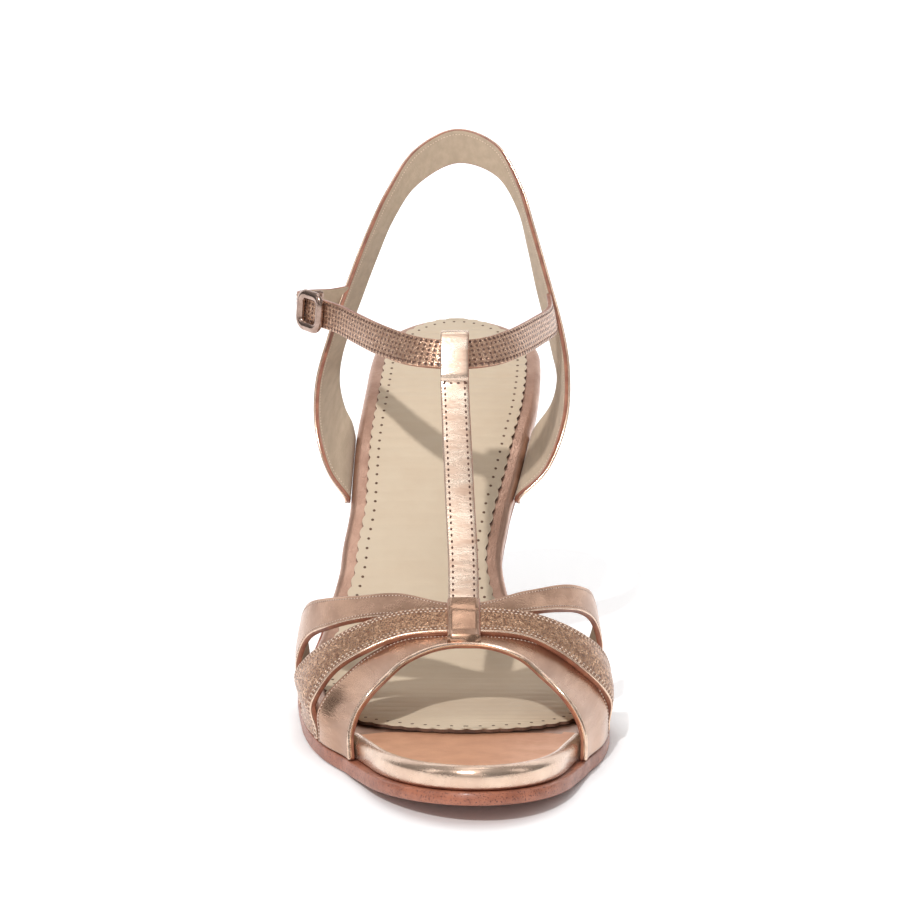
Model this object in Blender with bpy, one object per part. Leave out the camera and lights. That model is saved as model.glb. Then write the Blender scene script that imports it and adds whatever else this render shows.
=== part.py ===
"""Right shoe of a high heeled T strap sandal.

Frame: metres, +Z up. The origin is on the floor under the ball of the foot, the toe points to -Y, the heel
to +Y, and +X is the medial side, so the buckle is at -X.

Every piece follows the footbed: a line from toe tip to heel back, climbing over the shank. A place on the
shoe is given by its share along that line, its share of half the ball width to the side, and a height.
"""

import math

import bmesh
import bpy
import numpy as np
from mathutils import Vector

MM = 0.001

# Driving sizes of the last and the sole
SOLE_LENGTH = 250.0 * MM      # along the footbed, toe tip to heel back
BALL_WIDTH = 81.0 * MM        # the breadth that widths refer to: twice the insole's reach at the outer ball
HEEL_RISE = 85.8 * MM         # footbed's back edge above its ball
TOE_SPRING = 4.3 * MM         # footbed's toe tip above its ball
BALL_ALONG = 0.28             # ball of the foot, as a share along the footbed
OUTSOLE_WALL = 3.8 * MM       # outsole under the ball
OUTSOLE_WAIST_WALL = 2.6 * MM  # outsole under the shank
OUTSOLE_TOE_WALL = 3.1 * MM   # outsole at the toe tip
INSOLE_WALL = 5.5 * MM        # wrapped insole board
INSOLE_ROLL = 2.2 * MM        # radius of the insole's rolled top edge
SOLE_LEDGE = 1.9 * MM         # outsole edge beyond the insole, under the vamp straps
TOE_LEDGE = 0.9 * MM          # the same at the toe tip
OUTSOLE_BEVEL = 0.9 * MM      # chamfer of the outsole's lower edge
SOCK_WALL = 1.0 * MM
SOCK_MARGIN = 4.6 * MM        # insole that shows beside the sock
SOCK_START = 39.0 * MM        # sock's front edge from the toe tip
SOCK_END_MARGIN = 3.4 * MM    # insole that shows behind the sock
GAP = 0.3 * MM                # between neighbouring pieces
WELD = 0.02 * MM              # points this close become one where straps are joined

# Driving sizes of the heel
HEEL_LENGTH = 60.0 * MM       # heel seat, breast to back, along the footbed
HEEL_TIP_RADIUS = 5.6 * MM
HEEL_TIP_SET = 26.0 * MM      # tip's centre in front of the heel's back
HEEL_TUCK = 0.8 * MM          # heel's top edge inside the insole's
TOP_PIECE_WALL = 5.5 * MM

# Driving sizes of the straps
STRAP_WALL = 1.5 * MM
STRAP_BEVEL = 0.4 * MM
BACK_STRAP_RISE = 63.0 * MM   # back strap's top edge above the footbed
BACK_STRAP_TUCK = 3.2 * MM    # back strap's ends below the footbed, beside the insole
VAMP_RISE = 50.0 * MM         # height that the vamp table's shares refer to
TEE_WIDTH = 7.8 * MM
ANKLE_WIDTH = 8.4 * MM
KNOT_WALL = 1.0 * MM          # leather of the loop over the vamp straps
KNOT_BELOW = 0.6 * MM         # how far the loop reaches below the last's ridge line
LOOP_CLEARANCE = 0.35 * MM    # ankle strap inside the T strap's top loop

# Driving sizes of the buckle
BUCKLE_LENGTH = 11.0 * MM     # along the strap
BUCKLE_BAR = 1.7 * MM
BUCKLE_CLEARANCE = 0.35 * MM  # strap inside the frame

HALF_BALL = BALL_WIDTH / 2
STACK = OUTSOLE_WALL + GAP + INSOLE_WALL   # footbed's height at the ball
SEAT = GAP + STRAP_WALL / 2                # a strap's middle from the insole's side

# Footbed: how steeply it climbs, relative to its steepest place
# along, climb
CLIMB = (
    (0.00, 0.00), (0.31, 0.00), (0.345, 0.25), (0.38, 0.51), (0.46, 0.85), (0.56, 1.00),
    (0.66, 0.94), (0.74, 0.80), (0.82, 0.61), (0.90, 0.56), (1.00, 0.47),
)
FLAT_FROM = 0.19              # where the toe spring ends, as a share along the footbed
SHANK_FROM, SHANK_FADE = 0.37, 0.12   # where the outsole starts to thin, and over what length
LEDGE_TO, LEDGE_FADE = 0.43, 0.08     # where the outsole's ledge starts to fade, and over what length
TOE_FADE = 0.16               # length over which ledge and wall grow from the toe tip

# Insole outline: middle and half width as shares of half the ball width, before the ends are rounded
# along, swing, half
OUTLINE = (
    (0.00, 0.125, 0.66), (0.10, 0.0925, 0.6575), (0.15, 0.08, 0.705), (0.20, 0.055, 0.835),
    (0.25, 0.03, 0.915), (0.30, 0.005, 0.95), (0.36, -0.0575, 0.9425), (0.40, -0.085, 0.875),
    (0.44, -0.16, 0.735), (0.485, -0.23, 0.62), (0.54, -0.225, 0.57), (0.60, -0.175, 0.575),
    (0.66, -0.125, 0.61), (0.72, -0.08, 0.64), (0.78, -0.027, 0.66), (0.85, 0.01, 0.665),
    (0.92, 0.03, 0.645), (1.00, 0.03, 0.61),
)
NOSE_ROUND = 0.18             # length of the rounded toe, as a share along the footbed
HEEL_ROUND = 0.108            # length of the rounded heel
SOCK_NOSE_ROUND = 0.056       # length of the sock's rounded front

# Last over the forefoot: middle, half width and ridge height, as shares of half the ball width and VAMP_RISE
# along, swing, half, ridge
LAST = (
    (0.12, 0.0875, 0.66, 0.44), (0.15, 0.0825, 0.725, 0.455), (0.18, 0.065, 0.80, 0.465),
    (0.21, 0.035, 0.89, 0.49), (0.25, 0.020, 0.965, 0.60), (0.30, -0.010, 1.00, 0.71),
    (0.36, -0.030, 1.01, 0.92), (0.40, -0.0275, 0.985, 1.06), (0.45, -0.0225, 0.95, 1.18),
)
LAST_BULGE = 0.05             # share by which the last swells beyond the insole
LAST_FULLNESS = 0.80          # below 1 the last's section is fuller than an ellipse
LAST_FOOT = 1.5 * MM          # height up to which straps keep to the insole's side
LAST_SETTLE = 0.30            # share of the ridge height over which they leave it above that

# Vamp straps: edges along the footbed and lift off the last, at each turn from the lateral to the medial sole
# turn, rear, front, lift in strap walls
REAR_STRAP = (
    (0.00, 0.400, 0.330, 0.0), (0.08, 0.393, 0.330, 0.0), (0.16, 0.368, 0.322, 0.0),
    (0.24, 0.336, 0.293, 0.0), (0.32, 0.309, 0.270, 0.0), (0.40, 0.290, 0.252, 0.1),
    (0.50, 0.262, 0.238, 0.2), (0.60, 0.294, 0.258, 0.1), (0.68, 0.323, 0.287, 0.0),
    (0.76, 0.350, 0.318, 0.0), (0.84, 0.378, 0.343, 0.0), (0.92, 0.388, 0.355, 0.0),
    (1.00, 0.380, 0.350, 0.0),
)
MIDDLE_STRAP = (
    (0.00, 0.305, 0.211, 0.4), (0.08, 0.305, 0.216, 0.5), (0.16, 0.278, 0.214, 0.7),
    (0.24, 0.260, 0.216, 0.85), (0.32, 0.254, 0.216, 0.95), (0.40, 0.253, 0.220, 1.0),
    (0.50, 0.250, 0.219, 1.0), (0.60, 0.252, 0.220, 1.0), (0.68, 0.255, 0.214, 0.95),
    (0.76, 0.265, 0.211, 0.85), (0.84, 0.288, 0.219, 0.7), (0.92, 0.308, 0.232, 0.5),
    (1.00, 0.300, 0.240, 0.4),
)
FRONT_STRAP = (
    (0.00, 0.210, 0.138, -0.2), (0.08, 0.210, 0.142, -0.2), (0.16, 0.208, 0.145, -0.2),
    (0.24, 0.208, 0.148, -0.2), (0.32, 0.218, 0.161, -0.2), (0.40, 0.226, 0.187, -0.1),
    (0.50, 0.222, 0.205, 0.2), (0.60, 0.226, 0.192, -0.1), (0.68, 0.226, 0.161, -0.2),
    (0.76, 0.224, 0.145, -0.2), (0.84, 0.226, 0.139, -0.2), (0.92, 0.230, 0.137, -0.2),
    (1.00, 0.232, 0.135, -0.2),
)
MIDDLE_LIFT = 1.0             # the middle strap's lift on the ridge, in strap walls
KNOT_FROM = 0.206             # loop over the vamp straps, along the footbed
KNOT_TO = 0.258

# T strap: its middle line, from the loop at the toes to the ankle strap
# along, out, rise as a share of BACK_STRAP_RISE
TEE = (
    (0.236, 0.062, 0.385), (0.260, 0.062, 0.445), (0.294, 0.059, 0.578), (0.340, 0.040, 0.788),
    (0.395, 0.022, 0.955), (0.443, 0.007, 1.085),
)

# Back strap: front and rear edge, from the lateral sole round the heel to the medial sole
# front edge: along, out, rise; rear edge: along, out, rise
BACK_STRAP = (
    (0.638, -0.894, 0.071, 0.732, -0.760, 0.031),
    (0.665, -0.985, 0.179, 0.749, -0.820, 0.062),
    (0.712, -1.000, 0.261, 0.774, -0.864, 0.120),
    (0.765, -0.926, 0.346, 0.808, -0.849, 0.185),
    (0.848, -0.770, 0.498, 0.875, -0.711, 0.335),
    (0.899, -0.649, 0.621, 0.914, -0.593, 0.471),
    (0.935, -0.511, 0.755, 0.939, -0.481, 0.596),
    (0.963, -0.296, 0.916, 0.961, -0.296, 0.735),
    (0.977, 0.025, 0.998, 0.980, 0.037, 0.823),
    (0.964, 0.333, 0.944, 0.965, 0.346, 0.780),
    (0.935, 0.519, 0.782, 0.942, 0.519, 0.645),
    (0.901, 0.615, 0.631, 0.914, 0.593, 0.504),
    (0.842, 0.711, 0.497, 0.877, 0.657, 0.363),
    (0.765, 0.815, 0.362, 0.808, 0.763, 0.191),
    (0.720, 0.840, 0.297, 0.774, 0.793, 0.135),
    (0.671, 0.805, 0.207, 0.753, 0.746, 0.069),
    (0.639, 0.660, 0.076, 0.729, 0.620, 0.020),
)
BACK_STRAP_SEAT = (0.626, 0.727)   # where its two edges meet the sole, along the footbed

# Ankle strap: its middle line, from the medial side of the back strap round the front of the ankle,
# through the buckle and back to the lateral side of the back strap
# along, out, rise, lean in degrees
ANKLE_STRAP = (
    (0.746, 0.731, 0.486, 14), (0.655, 0.610, 0.688, 16), (0.551, 0.435, 0.946, 22),
    (0.493, 0.249, 1.081, 27), (0.470, 0.049, 1.132, 30), (0.475, -0.148, 1.123, 29), (0.501, -0.321, 1.067, 25),
    (0.562, -0.519, 0.927, 15), (0.634, -0.691, 0.759, 7), (0.687, -0.827, 0.647, 2), (0.724, -0.963, 0.575, 0),
    (0.756, -1.099, 0.523, 0), (0.774, -1.151, 0.492, 0), (0.793, -1.111, 0.457, 0), (0.804, -1.012, 0.437, 0),
    (0.815, -0.914, 0.418, 0),
)
# Where its medial and lateral ends meet the back strap
# row of BACK_STRAP counted from 0, share across from the front edge, lean in degrees
ANKLE_JOINS = ((12.45, 0.30, 12), (3.68, 0.30, 0))
BUCKLE_AT = 0.740             # frame's middle, along the footbed on the ankle strap's lateral side

# Heel: how far each level, from the seat down, has narrowed towards the tip
# level, taper
HEEL_TAPER = ((0.00, 0.00), (0.12, 0.34), (0.30, 0.66), (0.55, 0.87), (0.80, 0.96), (1.00, 1.00))
HEEL_LEVELS = 13
HEEL_BREAST_STEPS = 6
HEEL_CORNER = 0.006           # no outline point this close to the breast, as a share along


def smooth_columns(table, count):
    """Read a table's columns off a smooth curve through its rows, at count even steps of the row number."""
    rows = np.array(table, float)
    n = len(rows)
    slopes = np.empty_like(rows)
    slopes[1:-1] = (rows[2:] - rows[:-2]) / 2
    slopes[0] = rows[1] - rows[0]
    slopes[-1] = rows[-1] - rows[-2]
    where = np.linspace(0, n - 1, count)
    i = np.minimum(where.astype(int), n - 2)
    t = (where - i)[:, None]
    return ((2 * t**3 - 3 * t**2 + 1) * rows[i] + (t**3 - 2 * t**2 + t) * slopes[i]
            + (3 * t**2 - 2 * t**3) * rows[i + 1] + (t**3 - t**2) * slopes[i + 1])


def smooth_path(points, count):
    """Points at even distances along a smooth curve through the given ones."""
    rows = np.array([tuple(p) for p in points])
    place = np.concatenate([[0], np.cumsum(np.sqrt(np.linalg.norm(np.diff(rows, axis=0), axis=1)))])
    gap = np.diff(place)[:, None]
    rise = np.diff(rows, axis=0) / gap
    slopes = np.empty_like(rows)
    slopes[1:-1] = (rise[:-1] * gap[1:] + rise[1:] * gap[:-1]) / (gap[1:] + gap[:-1])
    slopes[0], slopes[-1] = rise[0], rise[-1]
    where = np.linspace(0, place[-1], 20 * count)
    i = np.clip(np.searchsorted(place, where) - 1, 0, len(rows) - 2)
    step = gap[i]
    t = ((where - place[i]) / gap[i, 0])[:, None]
    fine = ((2 * t**3 - 3 * t**2 + 1) * rows[i] + (t**3 - 2 * t**2 + t) * slopes[i] * step
            + (3 * t**2 - 2 * t**3) * rows[i + 1] + (t**3 - t**2) * slopes[i + 1] * step)
    length = np.concatenate([[0], np.cumsum(np.linalg.norm(np.diff(fine, axis=0), axis=1))])
    even = np.linspace(0, length[-1], count)
    return [Vector([float(np.interp(e, length, fine[:, k])) for k in range(3)]) for e in even]


def look_up(table, key, column):
    """One column of a table at key, its first column, along a curve that never overshoots its rows."""
    rows = np.array(table, float)
    x, y = rows[:, 0], rows[:, column]
    step = np.diff(x)
    rise = np.diff(y) / step
    slope = np.zeros(len(x))
    turning = rise[1:] * rise[:-1] > 0
    mean = 2 * rise[1:] * rise[:-1] / np.where(turning, rise[1:] + rise[:-1], 1.0)
    slope[1:-1] = np.where(turning, mean, 0.0)
    slope[0], slope[-1] = rise[0], rise[-1]
    key = np.clip(key, x[0], x[-1])
    i = np.clip(np.searchsorted(x, key) - 1, 0, len(x) - 2)
    t = (key - x[i]) / step[i]
    return ((2 * t**3 - 3 * t**2 + 1) * y[i] + (t**3 - 2 * t**2 + t) * slope[i] * step[i]
            + (3 * t**2 - 2 * t**3) * y[i + 1] + (t**3 - t**2) * slope[i + 1] * step[i])


def ease(share):
    """0 to 1, starting and ending gently."""
    share = min(max(share, 0.0), 1.0)
    return share * share * (3 - 2 * share)


def footbed_curve():
    """Tables of share along, y, z and slope angle of the footbed's middle line."""
    along = np.linspace(0, 1, 1001)
    climb = look_up(CLIMB, along, 1)
    step = SOLE_LENGTH / (len(along) - 1)
    middle = (climb[1:] + climb[:-1]) / 2
    rise = middle * HEEL_RISE / middle.sum()
    spring = TOE_SPRING * np.maximum(0, 1 - along / FLAT_FROM) ** 1.7
    dz = rise + np.diff(spring)
    dy = np.sqrt(step**2 - dz**2)
    y = np.concatenate([[0], np.cumsum(dy)])
    z = STACK + spring + np.concatenate([[0], np.cumsum(rise)])
    y -= np.interp(BALL_ALONG, along, y)
    angle = np.interp(along, (along[1:] + along[:-1]) / 2, np.arctan2(dz, dy))
    return along, y, z, angle


BED_ALONG, BED_Y, BED_Z, BED_ANGLE = footbed_curve()


def on_bed(along, x, lift=0.0):
    """Point over the footbed: lift is measured square to the footbed. Beyond either end it runs straight on."""
    inside = min(max(along, 0.0), 1.0)
    angle = float(np.interp(inside, BED_ALONG, BED_ANGLE))
    extra = (along - inside) * SOLE_LENGTH
    y = float(np.interp(inside, BED_ALONG, BED_Y)) + extra * math.cos(angle) - lift * math.sin(angle)
    z = float(np.interp(inside, BED_ALONG, BED_Z)) + extra * math.sin(angle) + lift * math.cos(angle)
    return Vector((x, y, z))


def above_bed(along, out, rise):
    """Point given in shares: along the footbed, out of half the ball width, rise of BACK_STRAP_RISE."""
    return on_bed(along, out * HALF_BALL) + Vector((0, 0, rise * BACK_STRAP_RISE))


def insole_half(along):
    return look_up(OUTLINE, along, 2) * HALF_BALL


def insole_middle(along):
    return look_up(OUTLINE, along, 1) * HALF_BALL


def beside_insole(along, side, distance):
    """X of a place at a distance square to the insole's side: side is -1 lateral, 1 medial."""
    def edge(share):
        return insole_middle(share) + side * insole_half(share) * rounding(share, NOSE_ROUND)

    step = 0.002
    slope = (edge(along + step) - edge(along - step)) / (2 * step * SOLE_LENGTH)
    return edge(along) + side * distance * math.hypot(1, slope)


def rounding(distance, length):
    """Share of the full width at a distance from a rounded end."""
    if distance >= length:
        return 1.0
    return math.sqrt(max(0.0, 1 - (1 - distance / length) ** 2))


def outline(start, end, margin=0.0, nose=NOSE_ROUND, heel=HEEL_ROUND, steps=44):
    """Plan of a sole piece as (x, distance along) points: toe tip, medial side, heel tip, lateral side.

    Without a heel round the piece ends in a straight cut.
    """
    medial, lateral = [], []
    for i in range(1, steps + (heel is None)):
        along = start + (end - start) * (1 - math.cos(math.pi * i / steps)) / 2
        inside = min(max(along, 0.0), 1.0)
        shrink = rounding(along - start, nose)
        if heel is not None:
            shrink *= rounding(end - along, heel)
        half = (insole_half(inside) - margin) * shrink
        medial.append(Vector((insole_middle(inside) + half, along * SOLE_LENGTH)))
        lateral.append(Vector((insole_middle(inside) - half, along * SOLE_LENGTH)))
    toe = [Vector((insole_middle(max(start, 0.0)), start * SOLE_LENGTH))]
    back = [] if heel is None else [Vector((insole_middle(min(end, 1.0)), end * SOLE_LENGTH))]
    return toe + medial + back + lateral[::-1], len(medial), heel is not None


def inset(points, distance, cut=None):
    """Move a closed plan inwards. distance may depend on the share along; points on a straight cut stay on it."""
    moved = []
    count = len(points)
    for i, point in enumerate(points):
        way = points[(i + 1) % count] - points[i - 1]
        normal = Vector((-way.y, way.x)).normalized()
        if cut is not None and abs(point.y - cut) < 1e-9:
            normal = Vector((-1, 0)) if way.x < 0 and points[i - 1].y < cut else Vector((1, 0))
        step = distance(point.y / SOLE_LENGTH) if callable(distance) else distance
        moved.append(point + normal * step)
    return moved


def new_object(name, mesh, material):
    mesh.materials.append(material)
    obj = bpy.data.objects.new(name, mesh)
    bpy.context.collection.objects.link(obj)
    return obj


def finish_mesh(bm, name, sharp=40):
    bmesh.ops.remove_doubles(bm, verts=bm.verts, dist=1e-6)
    bmesh.ops.recalc_face_normals(bm, faces=bm.faces)
    mesh = bpy.data.meshes.new(name)
    bm.to_mesh(mesh)
    bm.free()
    mesh.shade_smooth()
    mesh.set_sharp_from_angle(angle=math.radians(sharp))
    return mesh


def sole_slab(name, plan, levels, material):
    """Solid between rings of one plan: levels are (inset, lift) from top to bottom, lift may depend on along."""
    points, sides, has_heel = plan
    cut = None if has_heel else points[sides].y
    bm = bmesh.new()
    rings = []
    for distance, lift in levels:
        ring = []
        for p in inset(points, distance, cut):
            along = p.y / SOLE_LENGTH
            height = lift(along) if callable(lift) else lift
            ring.append(bm.verts.new(on_bed(along, p.x, height)))
        rings.append(ring)
    n = len(points)
    for upper, lower in zip(rings, rings[1:]):
        for i in range(n):
            j = (i + 1) % n
            bm.faces.new((upper[i], upper[j], lower[j], lower[i]))
    for ring in (rings[0], rings[-1]):
        bm.faces.new((ring[0], ring[1], ring[-1]))
        for i in range(1, sides):
            bm.faces.new((ring[i], ring[i + 1], ring[-i - 1], ring[-i]))
        if has_heel:
            bm.faces.new((ring[sides], ring[sides + 1], ring[sides + 2]))
    return new_object(name, finish_mesh(bm, name), material)


def band(name, curves, material, wall=STRAP_WALL):
    """Closed strap through two or more curves side by side, its wall centred on them, its edges bevelled."""
    bm = bmesh.new()
    columns, count = len(curves), len(curves[0])
    half, bevel = wall / 2, STRAP_BEVEL
    rings = []
    for i in range(count):
        before, after = max(i - 1, 0), min(i + 1, count - 1)
        way = sum((curve[after] - curve[before] for curve in curves), Vector())
        points = [curve[i] for curve in curves]
        across = [(points[min(k + 1, columns - 1)] - points[max(k - 1, 0)]).normalized() for k in range(columns)]
        normals = [way.cross(direction).normalized() for direction in across]
        first, last = points[0], points[-1]
        face = points[:]
        face[0] = first + across[0] * bevel
        face[-1] = last - across[-1] * bevel
        ring = [first - normals[0] * (half - bevel), first + normals[0] * (half - bevel)]
        ring += [p + n * half for p, n in zip(face, normals)]
        ring += [last + normals[-1] * (half - bevel), last - normals[-1] * (half - bevel)]
        ring += [p - n * half for p, n in zip(face[::-1], normals[::-1])]
        rings.append([bm.verts.new(p) for p in ring])
    n = 2 * columns + 4
    for ring, following in zip(rings, rings[1:]):
        for k in range(n):
            j = (k + 1) % n
            bm.faces.new((ring[k], ring[j], following[j], following[k]))
    for ring in (rings[0], rings[-1]):
        bm.faces.new((ring[0], ring[1], ring[2], ring[-1]))
        for k in range(columns - 1):
            bm.faces.new((ring[2 + k], ring[3 + k], ring[-2 - k], ring[-1 - k]))
        bm.faces.new(ring[columns + 1:columns + 5])
    return new_object(name, finish_mesh(bm, name), material)


def box(name, centre, axes, size, material, bevel=0.0):
    """Box with its own axes, size along each, and bevelled edges."""
    bm = bmesh.new()
    bmesh.ops.create_cube(bm, size=1.0)
    for v in bm.verts:
        v.co = centre + sum((axis * (v.co[k] * size[k]) for k, axis in enumerate(axes)), Vector())
    if bevel:
        bmesh.ops.bevel(bm, geom=list(bm.edges), offset=bevel, segments=1, affect="EDGES")
    return new_object(name, finish_mesh(bm, name), material)


def join(base, others, operation="UNION"):
    """Apply exact Booleans of the other solids to base, and remove them."""
    for other in others:
        step = base.modifiers.new("join", "BOOLEAN")
        step.operation = operation
        step.solver = "EXACT"
        step.object = other
        bpy.context.view_layer.update()
        mesh = bpy.data.meshes.new_from_object(base.evaluated_get(bpy.context.evaluated_depsgraph_get()))
        base.modifiers.clear()
        bm = bmesh.new()
        bm.from_mesh(mesh)
        bmesh.ops.remove_doubles(bm, verts=bm.verts, dist=WELD)
        bmesh.ops.dissolve_degenerate(bm, edges=bm.edges, dist=WELD)
        bm.to_mesh(mesh)
        bm.free()
        base.data = mesh
        bpy.data.objects.remove(other)
    base.data.shade_smooth()
    base.data.set_sharp_from_angle(angle=math.radians(40))
    return base


def last_point(turn, along, lift):
    """Point on the last over the forefoot: turn 0 is at the lateral sole edge, 0.5 on the ridge, 1 medial."""
    angle = math.pi * turn
    side = -1 if turn < 0.5 else 1
    level = math.sin(angle)
    ridge = look_up(LAST, along, 3) * VAMP_RISE
    height = ridge * level
    near_sole = 1 - ease((height - LAST_FOOT) / (LAST_SETTLE * ridge))
    reach = abs(math.cos(angle)) ** LAST_FULLNESS
    bulge = 1 + LAST_BULGE * math.sin(2 * min(angle, math.pi - angle))
    middle = look_up(LAST, along, 1) * HALF_BALL
    middle += (TEE[0][1] * HALF_BALL - middle) * level**3
    x = middle + side * look_up(LAST, along, 2) * HALF_BALL * bulge * reach
    x += (beside_insole(along, side, SEAT) - x) * near_sole
    away = Vector((side * reach, 0, level)).normalized()
    return on_bed(along, x, GAP - INSOLE_WALL) + Vector((0, 0, height)) + away * lift * (1 - near_sole)


def vamp_strap(name, table, material, count=41, columns=4):
    """Strap lying on the last from sole edge to sole edge, over the forefoot."""
    stations = smooth_columns(table, count)
    curves = []
    for share in np.linspace(0, 1, columns):
        curves.append([last_point(turn, rear + (front - rear) * share, lift * STRAP_WALL)
                       for turn, rear, front, lift in stations])
    return band(name, curves, material)


def flat_band(name, line, width, material, wall=STRAP_WALL):
    """Strap along a line in the shoe's length, its width level with the floor."""
    half = Vector((width / 2, 0, 0))
    return band(name, ([p - half for p in line], [p + half for p in line]), material, wall)


def on_back_strap(row, share):
    """Point on the back strap's middle surface, between the rows of its table."""
    first = min(int(row), len(BACK_STRAP) - 2)
    low, high = np.array(BACK_STRAP[first]), np.array(BACK_STRAP[first + 1])
    place = low + (high - low) * (row - first)
    return above_bed(*place[:3]).lerp(above_bed(*place[3:]), share)


def ankle_stations(count=86):
    """Middle, direction and width direction of the ankle strap at even steps of its table."""
    ends = [(*on_back_strap(row, share), lean) for row, share, lean in ANKLE_JOINS]
    table = [ends[0]] + [(*above_bed(*row[:3]), row[3]) for row in ANKLE_STRAP] + [ends[1]]
    rows = smooth_columns(table, count)
    points = [Vector(row[:3]) for row in rows]
    stations = []
    for i, row in enumerate(rows):
        way = (points[min(i + 1, count - 1)] - points[max(i - 1, 0)]).normalized()
        inward = way.cross(Vector((0, 0, 1))).normalized()
        upright = inward.cross(way).normalized()
        lean = math.radians(row[3])
        stations.append((points[i], way, upright * math.cos(lean) + inward * math.sin(lean)))
    return stations


def sole(leather):
    """Outsole: flat under the ball, thinner under the shank, cut off at the heel breast."""
    breast = 1 - (HEEL_LENGTH + GAP) / SOLE_LENGTH

    def ledge(along):
        full = TOE_LEDGE + (SOLE_LEDGE - TOE_LEDGE) * ease(along / TOE_FADE)
        return -full * (1 - ease((along - LEDGE_TO) / LEDGE_FADE))

    def floor(along):
        wall = OUTSOLE_TOE_WALL + (OUTSOLE_WALL - OUTSOLE_TOE_WALL) * ease(along / TOE_FADE)
        wall += (OUTSOLE_WAIST_WALL - OUTSOLE_WALL) * ease((along - SHANK_FROM) / SHANK_FADE)
        return -INSOLE_WALL - GAP - wall

    levels = (
        (lambda along: ledge(along) + OUTSOLE_BEVEL / 3, -INSOLE_WALL - GAP),
        (ledge, -INSOLE_WALL - GAP - OUTSOLE_BEVEL / 3),
        (ledge, lambda along: floor(along) + OUTSOLE_BEVEL),
        (lambda along: ledge(along) + OUTSOLE_BEVEL, floor),
    )
    return sole_slab("outsole", outline(0.0, breast, heel=None), levels, leather)


def insole(leather):
    """Insole board with the rolled top edge of its wrapped leather."""
    roll = []
    for degrees in (0, 22.5, 45, 67.5, 90):
        turn = math.radians(degrees)
        roll.append((INSOLE_ROLL * (1 - math.sin(turn)), -INSOLE_ROLL * (1 - math.cos(turn))))
    lower = [(0.0, INSOLE_ROLL / 4 - INSOLE_WALL), (INSOLE_ROLL / 4, -INSOLE_WALL)]
    return sole_slab("insole", outline(0.0, 1.0), roll + lower, leather)


def sock(leather):
    """Sock pad on the insole, with a rounded front behind the toes."""
    start = SOCK_START / SOLE_LENGTH
    end = 1 - SOCK_END_MARGIN / SOLE_LENGTH
    plan = outline(start, end, SOCK_MARGIN, nose=SOCK_NOSE_ROUND)
    return sole_slab("sock", plan, ((0.0, GAP + SOCK_WALL), (0.0, GAP)), leather)


def heel_rings():
    """Plan ring of the heel seat as points under the insole, and the ring of its tip at height 0."""
    breast = 1 - HEEL_LENGTH / SOLE_LENGTH
    points, _, _ = outline(0.0, 1.0)
    seat = [p for p in points if p.y / SOLE_LENGTH > breast + HEEL_CORNER]
    for side in (-1, 1):
        half = insole_half(breast)
        corner = Vector((insole_middle(breast) + side * half, breast * SOLE_LENGTH))
        seat.insert(0 if side > 0 else len(seat), corner)
    left, right = seat[-1], seat[0]
    for i in range(1, HEEL_BREAST_STEPS):
        seat.append(left.lerp(right, i / HEEL_BREAST_STEPS))
    seat = [p + (Vector((insole_middle(p.y / SOLE_LENGTH), p.y)) - p).normalized() * HEEL_TUCK for p in seat]
    top = [on_bed(p.y / SOLE_LENGTH, p.x, -INSOLE_WALL - GAP) for p in seat]
    centre = sum(top, Vector()) / len(top)
    tip_middle = Vector((insole_middle(1.0), BED_Y[-1] - HEEL_TIP_SET, 0))
    tip = []
    for p in top:
        way = Vector((p.x - centre.x, p.y - centre.y, 0)).normalized()
        tip.append(tip_middle + way * HEEL_TIP_RADIUS)
    return top, tip


def loft(name, rings, material):
    bm = bmesh.new()
    made = [[bm.verts.new(p) for p in ring] for ring in rings]
    for upper, lower in zip(made, made[1:]):
        for i in range(len(upper)):
            j = (i + 1) % len(upper)
            bm.faces.new((upper[i], upper[j], lower[j], lower[i]))
    bm.faces.new(made[0])
    bm.faces.new(made[-1])
    return new_object(name, finish_mesh(bm, name), material)


def heel(leather):
    """Slim covered heel: the seat's outline narrowing to the tip."""
    top, tip = heel_rings()
    low = TOP_PIECE_WALL + GAP
    rings = []
    for level in np.linspace(0, 1, HEEL_LEVELS):
        taper = look_up(HEEL_TAPER, level, 1)
        ring = []
        for p, q in zip(top, tip):
            plan = p.lerp(Vector((q.x, q.y, p.z)), taper)
            ring.append(Vector((plan.x, plan.y, p.z + (low - p.z) * level)))
        rings.append(ring)
    return loft("heel", rings, leather)


def top_piece(rubber):
    """Small tread under the heel, flat on the floor."""
    _, tip = heel_rings()
    middle = sum(tip, Vector()) / len(tip)
    bevel = OUTSOLE_BEVEL / 2
    narrow = [p + (middle - p).normalized() * bevel for p in tip]
    up = Vector((0, 0, TOP_PIECE_WALL))
    return loft("top_piece", ([p + up for p in tip], [p + Vector((0, 0, bevel)) for p in tip], narrow), rubber)


def knot(leather):
    """Loop that gathers the vamp straps at the toes."""
    inner, outer = -KNOT_BELOW, (MIDDLE_LIFT + 0.5) * STRAP_WALL + KNOT_WALL
    line = [last_point(0.5, along, (inner + outer) / 2) for along in np.linspace(KNOT_FROM, KNOT_TO, 6)]
    return flat_band("knot", line, TEE_WIDTH + 2 * GAP, leather, outer - inner)


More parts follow.
